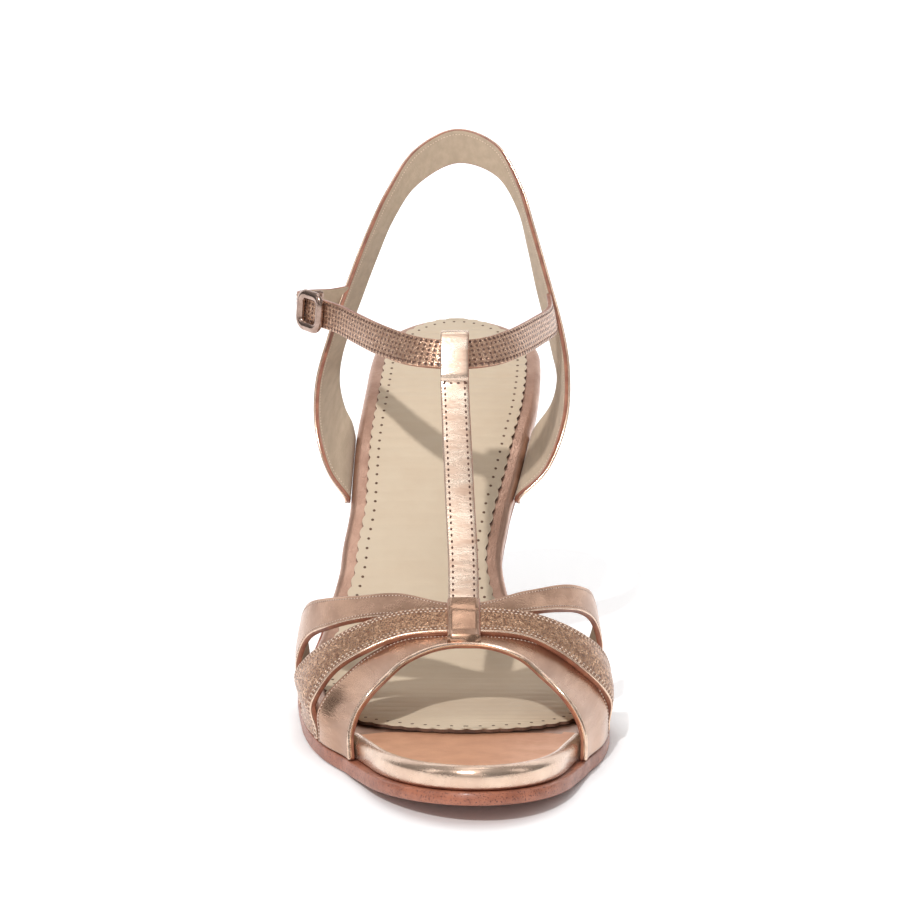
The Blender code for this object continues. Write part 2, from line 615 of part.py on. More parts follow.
def tee(leather):
    """T strap with the loop at its top, which the ankle strap runs through."""
    ahead = [s for s in ankle_stations() if s[0].y < BED_Y[-1] / 2]
    x = TEE[-1][1] * HALF_BALL
    middle, _, across = min(ahead, key=lambda s: abs(s[0].x - x))
    up = Vector((0, across.y, across.z)).normalized()
    front = Vector((0, -up.z, up.y))
    middle = Vector((x, middle.y, middle.z))
    threaded = [s for s in ahead if abs(s[0].x - x) < TEE_WIDTH / 2 + STRAP_WALL]
    depths = [(p - middle).dot(front) for p, _, _ in threaded]
    heights = [(p - middle).dot(up) for p, _, _ in threaded]
    deep = STRAP_WALL + LOOP_CLEARANCE
    high = (ANKLE_WIDTH + STRAP_WALL) / 2 + LOOP_CLEARANCE
    fore, aft = max(depths) + deep, min(depths) - deep
    top, low = max(heights) + high, min(heights) - high
    corner_u, corner_v = STRAP_WALL / 2, STRAP_WALL / 5
    over = ((low - deep, fore), (low / 2, fore), (top / 2, fore), (top - corner_u, fore - corner_v),
            (top, fore / 2), (top, aft / 2), (top - corner_u, aft + corner_v), (top / 2, aft), (low / 2, aft),
            (low - STRAP_WALL / 3, aft))
    points = [above_bed(*row) for row in TEE] + [middle + up * u + front * v for u, v in over]
    strap = flat_band("tee", smooth_path(points, 76), TEE_WIDTH, leather)
    back = middle + up * (low + STRAP_WALL) + front * aft
    foot = middle + up * (low - 2 * deep) + front * (fore - STRAP_WALL / 2)
    line = [back.lerp(foot, share) for share in np.linspace(0, 1, 5)]
    return join(strap, [flat_band("tee_end", line, TEE_WIDTH - 2 * STRAP_BEVEL, leather, STRAP_WALL * 1.1)])


def vamp_upper(leather):
    """Three straps on each side, the loop that gathers them and the T strap, as one piece."""
    straps = [vamp_strap(name, table, leather) for name, table in
              (("rear", REAR_STRAP), ("middle", MIDDLE_STRAP), ("front", FRONT_STRAP))]
    upper = join(knot(leather), [tee(leather)] + straps)
    upper.name = "vamp_upper"
    return upper


def seat_edge(along, side):
    """A strap end's lowest two points, beside the insole."""
    x = beside_insole(along, side, SEAT)
    return [on_bed(along, x, -BACK_STRAP_TUCK), on_bed(along, x, -BACK_STRAP_TUCK / 3)]


def back_strap(leather):
    """Back strap round the heel, with the ankle strap joined to it at both ends."""
    edges = []
    for k in (0, 1):
        rows = [above_bed(*row[3 * k:3 * k + 3]) for row in BACK_STRAP]
        lateral = seat_edge(BACK_STRAP_SEAT[k], -1)
        medial = seat_edge(BACK_STRAP_SEAT[k], 1)
        edges.append(smooth_path(lateral + rows + medial[::-1], 81))
    strap = band("back_strap", edges, leather)
    half = ANKLE_WIDTH / 2
    stations = ankle_stations()
    lower = [p - across * half for p, _, across in stations]
    upper = [p + across * half for p, _, across in stations]
    return join(strap, [band("ankle", (lower, upper), leather)])


def buckle_frame(metal):
    """Frame over the strap's outer face, with its centre bar behind the strap."""
    stations = [s for s in ankle_stations() if s[0].x < 0 and s[1].y > 0]
    target = on_bed(BUCKLE_AT, 0).y
    middle, way, across = min(stations, key=lambda s: abs(s[0].y - target))
    outward = across.cross(way).normalized()
    if outward.x > 0:
        outward = -outward
    reach = STRAP_WALL / 2 + BUCKLE_CLEARANCE + BUCKLE_BAR / 2
    high = ANKLE_WIDTH / 2 + BUCKLE_CLEARANCE + BUCKLE_BAR / 2
    axes = (way, across, outward)
    bevel = BUCKLE_BAR / 4
    slim = BUCKLE_BAR - bevel
    side = BUCKLE_LENGTH / 2 - BUCKLE_BAR
    rails = [box("rail", middle + across * (k * high), axes,
                 (BUCKLE_LENGTH, BUCKLE_BAR, 2 * reach + BUCKLE_BAR), metal, bevel) for k in (-1, 1)]
    bars = [box("bar", middle + way * along + outward * out, axes, (slim, 2 * high, slim), metal, bevel)
            for along, out in ((-side, reach), (side, reach), (0.0, -reach))]
    frame = rails[0]
    frame.name = "buckle_frame"
    return join(frame, bars + [rails[1]])


def metal_and_leather():
    """Materials by name: base colour, metallic, roughness."""
    looks = {
        "outsole_edge": ((0.42, 0.15, 0.09), 0.0, 0.5),
        "rose_gold_leather": ((0.72, 0.50, 0.38), 0.8, 0.32),
        "sock_leather": ((0.75, 0.62, 0.45), 0.0, 0.7),
        "top_piece_rubber": ((0.10, 0.07, 0.06), 0.0, 0.6),
        "buckle_metal": ((0.70, 0.46, 0.36), 1.0, 0.3),
    }
    made = {}
    for name, (colour, metallic, roughness) in looks.items():
        material = bpy.data.materials.new(name)
        material.use_nodes = True
        shader = material.node_tree.nodes["Principled BSDF"]
        shader.inputs["Base Color"].default_value = (*colour, 1)
        shader.inputs["Metallic"].default_value = metallic
        shader.inputs["Roughness"].default_value = roughness
        made[name] = material
    return made


def main():
    for obj in list(bpy.data.objects):
        bpy.data.objects.remove(obj, do_unlink=True)
    looks = metal_and_leather()
    leather = looks["rose_gold_leather"]
    pieces = [
        sole(looks["outsole_edge"]), insole(leather), sock(looks["sock_leather"]), heel(leather),
        top_piece(looks["top_piece_rubber"]), vamp_upper(leather), back_strap(leather),
        buckle_frame(looks["buckle_metal"]),
    ]
    for piece in pieces:
        low = min(v.co.z for v in piece.data.vertices)
        print(f"{piece.name}: {len(piece.data.polygons)} faces, lowest point {low * 1000:.2f} mm")


main()
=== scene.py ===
# %% [markdown]
# # A high heeled T strap sandal
# The real shoe is cut from foil coated leather and lasted over a board that is bent to the foot. The packed
# CAD parts are loaded first as a fixed frame, and each piece below is made finer in the place of its part.

# %% Load the frame
import math

import bmesh
import bpy
import numpy as np
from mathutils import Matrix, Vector


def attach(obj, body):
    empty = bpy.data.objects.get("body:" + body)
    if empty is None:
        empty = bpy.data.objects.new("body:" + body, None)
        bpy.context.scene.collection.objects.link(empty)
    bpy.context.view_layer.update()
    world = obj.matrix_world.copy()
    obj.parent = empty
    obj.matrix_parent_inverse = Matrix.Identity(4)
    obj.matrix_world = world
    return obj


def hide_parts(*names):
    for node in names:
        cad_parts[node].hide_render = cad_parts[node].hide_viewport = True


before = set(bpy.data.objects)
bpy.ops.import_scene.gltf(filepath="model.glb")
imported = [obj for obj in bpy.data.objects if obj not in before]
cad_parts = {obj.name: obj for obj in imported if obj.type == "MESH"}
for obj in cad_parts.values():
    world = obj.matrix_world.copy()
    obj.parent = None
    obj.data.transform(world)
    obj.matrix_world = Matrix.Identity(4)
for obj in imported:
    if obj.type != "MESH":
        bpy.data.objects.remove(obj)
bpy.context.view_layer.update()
print("parts:", sorted(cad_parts))

# %% [markdown]
# ## The sizes
# A shoe maker works from the last. The same sizes and tables that shaped the CAD parts are repeated here, so
# a finer strap lies exactly where the plain one did. Reading them off a table keeps every curve editable.

# %% Sizes of the last, the sole, the straps and the buckle
MM = 0.001

# Driving sizes of the last and the sole
SOLE_LENGTH = 250.0 * MM      # along the footbed, toe tip to heel back
BALL_WIDTH = 81.0 * MM        # the breadth that widths refer to: twice the insole's reach at the outer ball
HEEL_RISE = 85.8 * MM         # footbed's back edge above its ball
TOE_SPRING = 4.3 * MM         # footbed's toe tip above its ball
BALL_ALONG = 0.28             # ball of the foot, as a share along the footbed
OUTSOLE_WALL = 3.8 * MM       # outsole under the ball
OUTSOLE_WAIST_WALL = 2.6 * MM  # outsole under the shank
OUTSOLE_TOE_WALL = 3.1 * MM   # outsole at the toe tip
INSOLE_WALL = 5.5 * MM        # wrapped insole board
INSOLE_ROLL = 2.2 * MM        # radius of the insole's rolled top edge
SOLE_LEDGE = 1.9 * MM         # outsole edge beyond the insole, under the vamp straps
TOE_LEDGE = 0.9 * MM          # the same at the toe tip
OUTSOLE_BEVEL = 0.9 * MM      # chamfer of the outsole's lower edge
SOCK_WALL = 1.0 * MM
SOCK_MARGIN = 4.6 * MM        # insole that shows beside the sock
SOCK_START = 39.0 * MM        # sock's front edge from the toe tip
SOCK_END_MARGIN = 3.4 * MM    # insole that shows behind the sock
GAP = 0.3 * MM                # between neighbouring pieces

# Driving sizes of the heel
HEEL_LENGTH = 60.0 * MM       # heel seat, breast to back, along the footbed
HEEL_TIP_RADIUS = 5.6 * MM
HEEL_TIP_SET = 26.0 * MM      # tip's centre in front of the heel's back
HEEL_TUCK = 0.8 * MM          # heel's top edge inside the insole's
TOP_PIECE_WALL = 5.5 * MM

# Driving sizes of the straps
STRAP_WALL = 1.5 * MM
THREAD_LIFT = 0.02 * MM       # stitches off a strap's face
BACK_STRAP_RISE = 63.0 * MM   # back strap's top edge above the footbed
BACK_STRAP_TUCK = 3.2 * MM    # back strap's ends below the footbed, beside the insole
VAMP_RISE = 50.0 * MM         # height that the vamp table's shares refer to
TEE_WIDTH = 7.8 * MM
ANKLE_WIDTH = 8.4 * MM
KNOT_WALL = 1.0 * MM          # leather of the loop over the vamp straps
KNOT_BELOW = 0.6 * MM         # how far the loop reaches below the last's ridge line
LOOP_CLEARANCE = 0.35 * MM    # ankle strap inside the T strap's top loop

# Driving sizes of the buckle
BUCKLE_LENGTH = 11.0 * MM     # along the strap
BUCKLE_BAR = 1.7 * MM
BUCKLE_CLEARANCE = 0.35 * MM  # strap inside the frame

HALF_BALL = BALL_WIDTH / 2
STACK = OUTSOLE_WALL + GAP + INSOLE_WALL   # footbed's height at the ball
SEAT = GAP + STRAP_WALL / 2                # a strap's middle from the insole's side

# %% Tables of the footbed, the last and the straps
# Footbed: how steeply it climbs, relative to its steepest place
# along, climb
CLIMB = (
    (0.00, 0.00), (0.31, 0.00), (0.345, 0.25), (0.38, 0.51), (0.46, 0.85), (0.56, 1.00),
    (0.66, 0.94), (0.74, 0.80), (0.82, 0.61), (0.90, 0.56), (1.00, 0.47),
)
FLAT_FROM = 0.19              # where the toe spring ends, as a share along the footbed
SHANK_FROM, SHANK_FADE = 0.37, 0.12   # where the outsole starts to thin, and over what length
LEDGE_TO, LEDGE_FADE = 0.43, 0.08     # where the outsole's ledge starts to fade, and over what length
TOE_FADE = 0.16               # length over which ledge and wall grow from the toe tip

# Insole outline: middle and half width as shares of half the ball width, before the ends are rounded
# along, swing, half
OUTLINE = (
    (0.00, 0.125, 0.66), (0.10, 0.0925, 0.6575), (0.15, 0.08, 0.705), (0.20, 0.055, 0.835),
    (0.25, 0.03, 0.915), (0.30, 0.005, 0.95), (0.36, -0.0575, 0.9425), (0.40, -0.085, 0.875),
    (0.44, -0.16, 0.735), (0.485, -0.23, 0.62), (0.54, -0.225, 0.57), (0.60, -0.175, 0.575),
    (0.66, -0.125, 0.61), (0.72, -0.08, 0.64), (0.78, -0.027, 0.66), (0.85, 0.01, 0.665),
    (0.92, 0.03, 0.645), (1.00, 0.03, 0.61),
)
NOSE_ROUND = 0.18             # length of the rounded toe, as a share along the footbed
HEEL_ROUND = 0.108            # length of the rounded heel
SOCK_NOSE_ROUND = 0.056       # length of the sock's rounded front

# Last over the forefoot: middle, half width and ridge height, as shares of half the ball width and VAMP_RISE
# along, swing, half, ridge
LAST = (
    (0.12, 0.0875, 0.66, 0.44), (0.15, 0.0825, 0.725, 0.455), (0.18, 0.065, 0.80, 0.465),
    (0.21, 0.035, 0.89, 0.49), (0.25, 0.020, 0.965, 0.60), (0.30, -0.010, 1.00, 0.71),
    (0.36, -0.030, 1.01, 0.92), (0.40, -0.0275, 0.985, 1.06), (0.45, -0.0225, 0.95, 1.18),
)
LAST_BULGE = 0.05             # share by which the last swells beyond the insole
LAST_FULLNESS = 0.80          # below 1 the last's section is fuller than an ellipse
LAST_FOOT = 1.5 * MM          # height up to which straps keep to the insole's side
LAST_SETTLE = 0.30            # share of the ridge height over which they leave it above that

# Vamp straps: edges along the footbed and lift off the last, at each turn from the lateral to the medial sole
# turn, rear, front, lift in strap walls
REAR_STRAP = (
    (0.00, 0.400, 0.330, 0.0), (0.08, 0.393, 0.330, 0.0), (0.16, 0.368, 0.322, 0.0),
    (0.24, 0.336, 0.293, 0.0), (0.32, 0.309, 0.270, 0.0), (0.40, 0.290, 0.252, 0.1),
    (0.50, 0.262, 0.238, 0.2), (0.60, 0.294, 0.258, 0.1), (0.68, 0.323, 0.287, 0.0),
    (0.76, 0.350, 0.318, 0.0), (0.84, 0.378, 0.343, 0.0), (0.92, 0.388, 0.355, 0.0),
    (1.00, 0.380, 0.350, 0.0),
)
MIDDLE_STRAP = (
    (0.00, 0.305, 0.211, 0.4), (0.08, 0.305, 0.216, 0.5), (0.16, 0.278, 0.214, 0.7),
    (0.24, 0.260, 0.216, 0.85), (0.32, 0.254, 0.216, 0.95), (0.40, 0.253, 0.220, 1.0),
    (0.50, 0.250, 0.219, 1.0), (0.60, 0.252, 0.220, 1.0), (0.68, 0.255, 0.214, 0.95),
    (0.76, 0.265, 0.211, 0.85), (0.84, 0.288, 0.219, 0.7), (0.92, 0.308, 0.232, 0.5),
    (1.00, 0.300, 0.240, 0.4),
)
FRONT_STRAP = (
    (0.00, 0.210, 0.138, -0.2), (0.08, 0.210, 0.142, -0.2), (0.16, 0.208, 0.145, -0.2),
    (0.24, 0.208, 0.148, -0.2), (0.32, 0.218, 0.161, -0.2), (0.40, 0.226, 0.187, -0.1),
    (0.50, 0.222, 0.205, 0.2), (0.60, 0.226, 0.192, -0.1), (0.68, 0.226, 0.161, -0.2),
    (0.76, 0.224, 0.145, -0.2), (0.84, 0.226, 0.139, -0.2), (0.92, 0.230, 0.137, -0.2),
    (1.00, 0.232, 0.135, -0.2),
)
MIDDLE_LIFT = 1.0             # the middle strap's lift on the ridge, in strap walls
KNOT_FROM = 0.206             # loop over the vamp straps, along the footbed
KNOT_TO = 0.258

# T strap: its middle line, from the loop at the toes to the ankle strap
# along, out, rise as a share of BACK_STRAP_RISE
TEE = (
    (0.236, 0.062, 0.385), (0.260, 0.062, 0.445), (0.294, 0.059, 0.578), (0.340, 0.040, 0.788),
    (0.395, 0.022, 0.955), (0.443, 0.007, 1.085),
)

# Back strap: front and rear edge, from the lateral sole round the heel to the medial sole
# front edge: along, out, rise; rear edge: along, out, rise
BACK_STRAP = (
    (0.638, -0.894, 0.071, 0.732, -0.760, 0.031),
    (0.665, -0.985, 0.179, 0.749, -0.820, 0.062),
    (0.712, -1.000, 0.261, 0.774, -0.864, 0.120),
    (0.765, -0.926, 0.346, 0.808, -0.849, 0.185),
    (0.848, -0.770, 0.498, 0.875, -0.711, 0.335),
    (0.899, -0.649, 0.621, 0.914, -0.593, 0.471),
    (0.935, -0.511, 0.755, 0.939, -0.481, 0.596),
    (0.963, -0.296, 0.916, 0.961, -0.296, 0.735),
    (0.977, 0.025, 0.998, 0.980, 0.037, 0.823),
    (0.964, 0.333, 0.944, 0.965, 0.346, 0.780),
    (0.935, 0.519, 0.782, 0.942, 0.519, 0.645),
    (0.901, 0.615, 0.631, 0.914, 0.593, 0.504),
    (0.842, 0.711, 0.497, 0.877, 0.657, 0.363),
    (0.765, 0.815, 0.362, 0.808, 0.763, 0.191),
    (0.720, 0.840, 0.297, 0.774, 0.793, 0.135),
    (0.671, 0.805, 0.207, 0.753, 0.746, 0.069),
    (0.639, 0.660, 0.076, 0.729, 0.620, 0.020),
)
BACK_STRAP_SEAT = (0.626, 0.727)   # where its two edges meet the sole, along the footbed

# Ankle strap: its middle line, from the medial side of the back strap round the front of the ankle,
# through the buckle and back to the lateral side of the back strap
# along, out, rise, lean in degrees
ANKLE_STRAP = (
    (0.746, 0.731, 0.486, 14), (0.655, 0.610, 0.688, 16), (0.551, 0.435, 0.946, 22),
    (0.493, 0.249, 1.081, 27), (0.470, 0.049, 1.132, 30), (0.475, -0.148, 1.123, 29), (0.501, -0.321, 1.067, 25),
    (0.562, -0.519, 0.927, 15), (0.634, -0.691, 0.759, 7), (0.687, -0.827, 0.647, 2), (0.724, -0.963, 0.575, 0),
    (0.756, -1.099, 0.523, 0), (0.774, -1.151, 0.492, 0), (0.793, -1.111, 0.457, 0), (0.804, -1.012, 0.437, 0),
    (0.815, -0.914, 0.418, 0),
)
# Where its medial and lateral ends meet the back strap
# row of BACK_STRAP counted from 0, share across from the front edge, lean in degrees
ANKLE_JOINS = ((12.45, 0.30, 12), (3.68, 0.30, 0))
BUCKLE_AT = 0.740             # frame's middle, along the footbed on the ankle strap's lateral side

# Heel: how far each level, from the seat down, has narrowed towards the tip
# level, taper
HEEL_TAPER = ((0.00, 0.00), (0.12, 0.34), (0.30, 0.66), (0.55, 0.87), (0.80, 0.96), (1.00, 1.00))
HEEL_CORNER = 0.006           # no outline point this close to the breast, as a share along
print("footbed", SOLE_LENGTH, "m, straps", STRAP_WALL, "m thick")

# %% [markdown]
# ## The helpers
# Straps and soles could be modelled by pushing points about, but a sandal is all smooth curves through a few
# known places. So each edge is a curve read off its table, and a place is given on the footbed.

# %% Curves and places on the footbed
def hermite(t, a, b, rise_a, rise_b):
    """Smooth curve from a to b at shares t of the way, with the given rises at its ends."""
    return ((2 * t**3 - 3 * t**2 + 1) * a + (t**3 - 2 * t**2 + t) * rise_a
            + (3 * t**2 - 2 * t**3) * b + (t**3 - t**2) * rise_b)


def run_of(points):
    """Distance along a line of points."""
    return np.concatenate([[0], np.cumsum(np.linalg.norm(np.diff(points, axis=0), axis=1))])


def smooth_columns(table, count):
    """Read a table's columns off a smooth curve through its rows, at count even steps of the row number."""
    rows = np.array(table, float)
    n = len(rows)
    slopes = np.empty_like(rows)
    slopes[1:-1] = (rows[2:] - rows[:-2]) / 2
    slopes[0] = rows[1] - rows[0]
    slopes[-1] = rows[-1] - rows[-2]
    where = np.linspace(0, n - 1, count)
    i = np.minimum(where.astype(int), n - 2)
    return hermite((where - i)[:, None], rows[i], rows[i + 1], slopes[i], slopes[i + 1])


def smooth_path(points, count):
    """Points at even distances along a smooth curve through the given ones."""
    rows = np.array([tuple(p) for p in points])
    place = np.concatenate([[0], np.cumsum(np.sqrt(np.linalg.norm(np.diff(rows, axis=0), axis=1)))])
    gap = np.diff(place)[:, None]
    rise = np.diff(rows, axis=0) / gap
    slopes = np.empty_like(rows)
    slopes[1:-1] = (rise[:-1] * gap[1:] + rise[1:] * gap[:-1]) / (gap[1:] + gap[:-1])
    slopes[0], slopes[-1] = rise[0], rise[-1]
    where = np.linspace(0, place[-1], 20 * count)
    i = np.clip(np.searchsorted(place, where) - 1, 0, len(rows) - 2)
    t = ((where - place[i]) / gap[i, 0])[:, None]
    fine = hermite(t, rows[i], rows[i + 1], slopes[i] * gap[i], slopes[i + 1] * gap[i])
    length = run_of(fine)
    even = np.linspace(0, length[-1], count)
    return [Vector([float(np.interp(e, length, fine[:, k])) for k in range(3)]) for e in even]


def look_up(table, key, column):
    """One column of a table at key, its first column, along a curve that never overshoots its rows."""
    rows = np.array(table, float)
    x, y = rows[:, 0], rows[:, column]
    step = np.diff(x)
    rise = np.diff(y) / step
    slope = np.zeros(len(x))
    turning = rise[1:] * rise[:-1] > 0
    mean = 2 * rise[1:] * rise[:-1] / np.where(turning, rise[1:] + rise[:-1], 1.0)
    slope[1:-1] = np.where(turning, mean, 0.0)
    slope[0], slope[-1] = rise[0], rise[-1]
    key = np.clip(key, x[0], x[-1])
    i = np.clip(np.searchsorted(x, key) - 1, 0, len(x) - 2)
    t = (key - x[i]) / step[i]
    return hermite(t, y[i], y[i + 1], slope[i] * step[i], slope[i + 1] * step[i])


def ease(share):
    """0 to 1, starting and ending gently."""
    share = min(max(share, 0.0), 1.0)
    return share * share * (3 - 2 * share)


def footbed_curve():
    """Tables of share along, y, z and slope angle of the footbed's middle line."""
    along = np.linspace(0, 1, 1001)
    climb = look_up(CLIMB, along, 1)
    step = SOLE_LENGTH / (len(along) - 1)
    middle = (climb[1:] + climb[:-1]) / 2
    rise = middle * HEEL_RISE / middle.sum()
    spring = TOE_SPRING * np.maximum(0, 1 - along / FLAT_FROM) ** 1.7
    dz = rise + np.diff(spring)
    dy = np.sqrt(step**2 - dz**2)
    y = np.concatenate([[0], np.cumsum(dy)])
    z = STACK + spring + np.concatenate([[0], np.cumsum(rise)])
    y -= np.interp(BALL_ALONG, along, y)
    angle = np.interp(along, (along[1:] + along[:-1]) / 2, np.arctan2(dz, dy))
    return along, y, z, angle


BED_ALONG, BED_Y, BED_Z, BED_ANGLE = footbed_curve()


def on_bed(along, x, lift=0.0):
    """Point over the footbed: lift is measured square to the footbed. Beyond either end it runs straight on."""
    inside = min(max(along, 0.0), 1.0)
    angle = float(np.interp(inside, BED_ALONG, BED_ANGLE))
    extra = (along - inside) * SOLE_LENGTH
    y = float(np.interp(inside, BED_ALONG, BED_Y)) + extra * math.cos(angle) - lift * math.sin(angle)
    z = float(np.interp(inside, BED_ALONG, BED_Z)) + extra * math.sin(angle) + lift * math.cos(angle)
    return Vector((x, y, z))


def above_bed(along, out, rise):
    """Point given in shares: along the footbed, out of half the ball width, rise of BACK_STRAP_RISE."""
    return on_bed(along, out * HALF_BALL) + Vector((0, 0, rise * BACK_STRAP_RISE))


def insole_half(along):
    return look_up(OUTLINE, along, 2) * HALF_BALL


def insole_middle(along):
    return look_up(OUTLINE, along, 1) * HALF_BALL


def beside_insole(along, side, distance):
    """X of a place at a distance square to the insole's side: side is -1 lateral, 1 medial."""
    def edge(share):
        return insole_middle(share) + side * insole_half(share) * rounding(share, NOSE_ROUND)

    step = 0.002
    slope = (edge(along + step) - edge(along - step)) / (2 * step * SOLE_LENGTH)
    return edge(along) + side * distance * math.hypot(1, slope)


def rounding(distance, length):
    """Share of the full width at a distance from a rounded end."""
    if distance >= length:
        return 1.0
    return math.sqrt(max(0.0, 1 - (1 - distance / length) ** 2))


# %% Plan of the sole pieces
def outline(start, end, margin=0.0, nose=NOSE_ROUND, heel=HEEL_ROUND, steps=44):
    """Plan of a sole piece as (x, distance along) points: toe tip, medial side, heel tip, lateral side.

    Without a heel round the piece ends in a straight cut.
    """
    medial, lateral = [], []
    for i in range(1, steps + (heel is None)):
        along = start + (end - start) * (1 - math.cos(math.pi * i / steps)) / 2
        inside = min(max(along, 0.0), 1.0)
        shrink = rounding(along - start, nose)
        if heel is not None:
            shrink *= rounding(end - along, heel)
        half = (insole_half(inside) - margin) * shrink
        medial.append(Vector((insole_middle(inside) + half, along * SOLE_LENGTH)))
        lateral.append(Vector((insole_middle(inside) - half, along * SOLE_LENGTH)))
    toe = [Vector((insole_middle(max(start, 0.0)), start * SOLE_LENGTH))]
    back = [] if heel is None else [Vector((insole_middle(min(end, 1.0)), end * SOLE_LENGTH))]
    return toe + medial + back + lateral[::-1], len(medial), heel is not None


# %% Places on the last and on the straps
def last_point(turn, along, lift):
    """Point on the last over the forefoot: turn 0 is at the lateral sole edge, 0.5 on the ridge, 1 medial."""
    angle = math.pi * turn
    side = -1 if turn < 0.5 else 1
    level = math.sin(angle)
    ridge = look_up(LAST, along, 3) * VAMP_RISE
    height = ridge * level
    near_sole = 1 - ease((height - LAST_FOOT) / (LAST_SETTLE * ridge))
    reach = abs(math.cos(angle)) ** LAST_FULLNESS
    bulge = 1 + LAST_BULGE * math.sin(2 * min(angle, math.pi - angle))
    middle = look_up(LAST, along, 1) * HALF_BALL
    middle += (TEE[0][1] * HALF_BALL - middle) * level**3
    x = middle + side * look_up(LAST, along, 2) * HALF_BALL * bulge * reach
    x += (beside_insole(along, side, SEAT) - x) * near_sole
    away = Vector((side * reach, 0, level)).normalized()
    return on_bed(along, x, GAP - INSOLE_WALL) + Vector((0, 0, height)) + away * lift * (1 - near_sole)


def on_back_strap(row, share):
    """Point on the back strap's middle surface, between the rows of its table."""
    first = min(int(row), len(BACK_STRAP) - 2)
    low, high = np.array(BACK_STRAP[first]), np.array(BACK_STRAP[first + 1])
    place = low + (high - low) * (row - first)
    return above_bed(*place[:3]).lerp(above_bed(*place[3:]), share)


def ankle_stations(count=86):
    """Middle, direction and width direction of the ankle strap at even steps of its table."""
    ends = [(*on_back_strap(row, share), lean) for row, share, lean in ANKLE_JOINS]
    table = [ends[0]] + [(*above_bed(*row[:3]), row[3]) for row in ANKLE_STRAP] + [ends[1]]
    rows = smooth_columns(table, count)
    points = [Vector(row[:3]) for row in rows]
    stations = []
    for i, row in enumerate(rows):
        way = (points[min(i + 1, count - 1)] - points[max(i - 1, 0)]).normalized()
        inward = way.cross(Vector((0, 0, 1))).normalized()
        upright = inward.cross(way).normalized()
        lean = math.radians(row[3])
        stations.append((points[i], way, upright * math.cos(lean) + inward * math.sin(lean)))
    return stations


def seat_edge(along, side):
    """A strap end's lowest two points, beside the insole."""
    x = beside_insole(along, side, SEAT)
    return [on_bed(along, x, -BACK_STRAP_TUCK), on_bed(along, x, -BACK_STRAP_TUCK / 3)]


print("footbed climbs", round(float(BED_Z[-1] - BED_Z[0]), 4), "m")

# %% [markdown]
# ## Surfaces
# Foil leather is a metal film on a grained skin: it is nearly a mirror, broken up by the grain, and rubbed
# brown in its hollows. Node groups hold what several leathers share, so that each finish only sets values.

# %% Node helpers
FLOAT, VECTOR, COLOUR = "NodeSocketFloat", "NodeSocketVector", "NodeSocketColor"


def node(tree, kind, inputs=None, **settings):
    """Add a node, set its properties, and link or set its inputs."""
    made = tree.nodes.new(kind)
    for key, value in settings.items():
        setattr(made, key, value)
    for key, value in (inputs or {}).items():
        if isinstance(value, bpy.types.NodeSocket):
            tree.links.new(value, made.inputs[key])
        else:
            made.inputs[key].default_value = value
    return made


def maths(tree, operation, a, b=0.0):
    """Output of a Math node."""
    return node(tree, "ShaderNodeMath", {0: a, 1: b}, operation=operation).outputs[0]


def group_of(name, kind, ins, outs):
    """Empty node group with named sockets."""
    tree = bpy.data.node_groups.new(name, kind)
    for sockets, side in ((ins, "INPUT"), (outs, "OUTPUT")):
        for socket, socket_type in sockets:
            tree.interface.new_socket(socket, in_out=side, socket_type=socket_type)
    print("group", name)
    return tree, tree.nodes.new("NodeGroupInput").outputs, tree.nodes.new("NodeGroupOutput").inputs


# %% Node group: leather grain
GRAIN, ins, outs = group_of("leather grain", "ShaderNodeTree",
                            (("Place", VECTOR), ("Size", FLOAT)), (("Height", FLOAT),))
count = maths(GRAIN, "DIVIDE", 1.0, ins["Size"])
cells = node(GRAIN, "ShaderNodeTexVoronoi", {"Vector": ins["Place"], "Scale": count}, feature="SMOOTH_F1")
pores = node(GRAIN, "ShaderNodeTexNoise", {"Vector": ins["Place"], "Scale": count, "Detail": 3.0})
GRAIN.links.new(maths(GRAIN, "ADD", cells.outputs["Distance"], pores.outputs["Fac"]), outs["Height"])

# %% Node group: foil rubbed and clouded over the piece
CLOUD, ins, outs = group_of("foil cloud", "ShaderNodeTree",
                            (("Place", VECTOR), ("Size", FLOAT), ("Light", COLOUR), ("Dark", COLOUR)),
                            (("Colour", COLOUR), ("Rub", FLOAT)))
wide = node(CLOUD, "ShaderNodeTexNoise", {"Vector": ins["Place"], "Scale": maths(CLOUD, "DIVIDE", 1.0, ins["Size"]),
                                          "Detail": 4.0, "Roughness": 0.6})
shade = node(CLOUD, "ShaderNodeMapRange", {"Value": wide.outputs["Fac"], "From Min": 0.35, "From Max": 0.65})
mixed = node(CLOUD, "ShaderNodeMix", {"Factor": shade.outputs[0], 6: ins["Dark"], 7: ins["Light"]},
             data_type="RGBA")
CLOUD.links.new(mixed.outputs[2], outs["Colour"])
CLOUD.links.new(shade.outputs[0], outs["Rub"])

# %% Node group: rows of punched dots that follow a strap
DOTS, ins, outs = group_of("punched dots", "ShaderNodeTree",
                           (("Place", VECTOR), ("Along", FLOAT), ("Across", FLOAT), ("Radius", FLOAT)),
                           (("Mask", FLOAT),))
parts = node(DOTS, "ShaderNodeSeparateXYZ", {0: ins["Place"]})
sides = {}
for axis, pitch in enumerate(("Along", "Across")):
    cell = maths(DOTS, "FRACT", maths(DOTS, "DIVIDE", parts.outputs[axis], ins[pitch]))
    sides[axis] = maths(DOTS, "MULTIPLY", maths(DOTS, "SUBTRACT", cell, 0.5), ins[pitch])
flat = node(DOTS, "ShaderNodeCombineXYZ", sides)
away = node(DOTS, "ShaderNodeVectorMath", {0: flat.outputs[0]}, operation="LENGTH")
mask = node(DOTS, "ShaderNodeMapRange", {"Value": maths(DOTS, "DIVIDE", away.outputs["Value"], ins["Radius"]),
                                         "From Min": 1.15, "From Max": 0.75})
DOTS.links.new(mask.outputs[0], outs["Mask"])

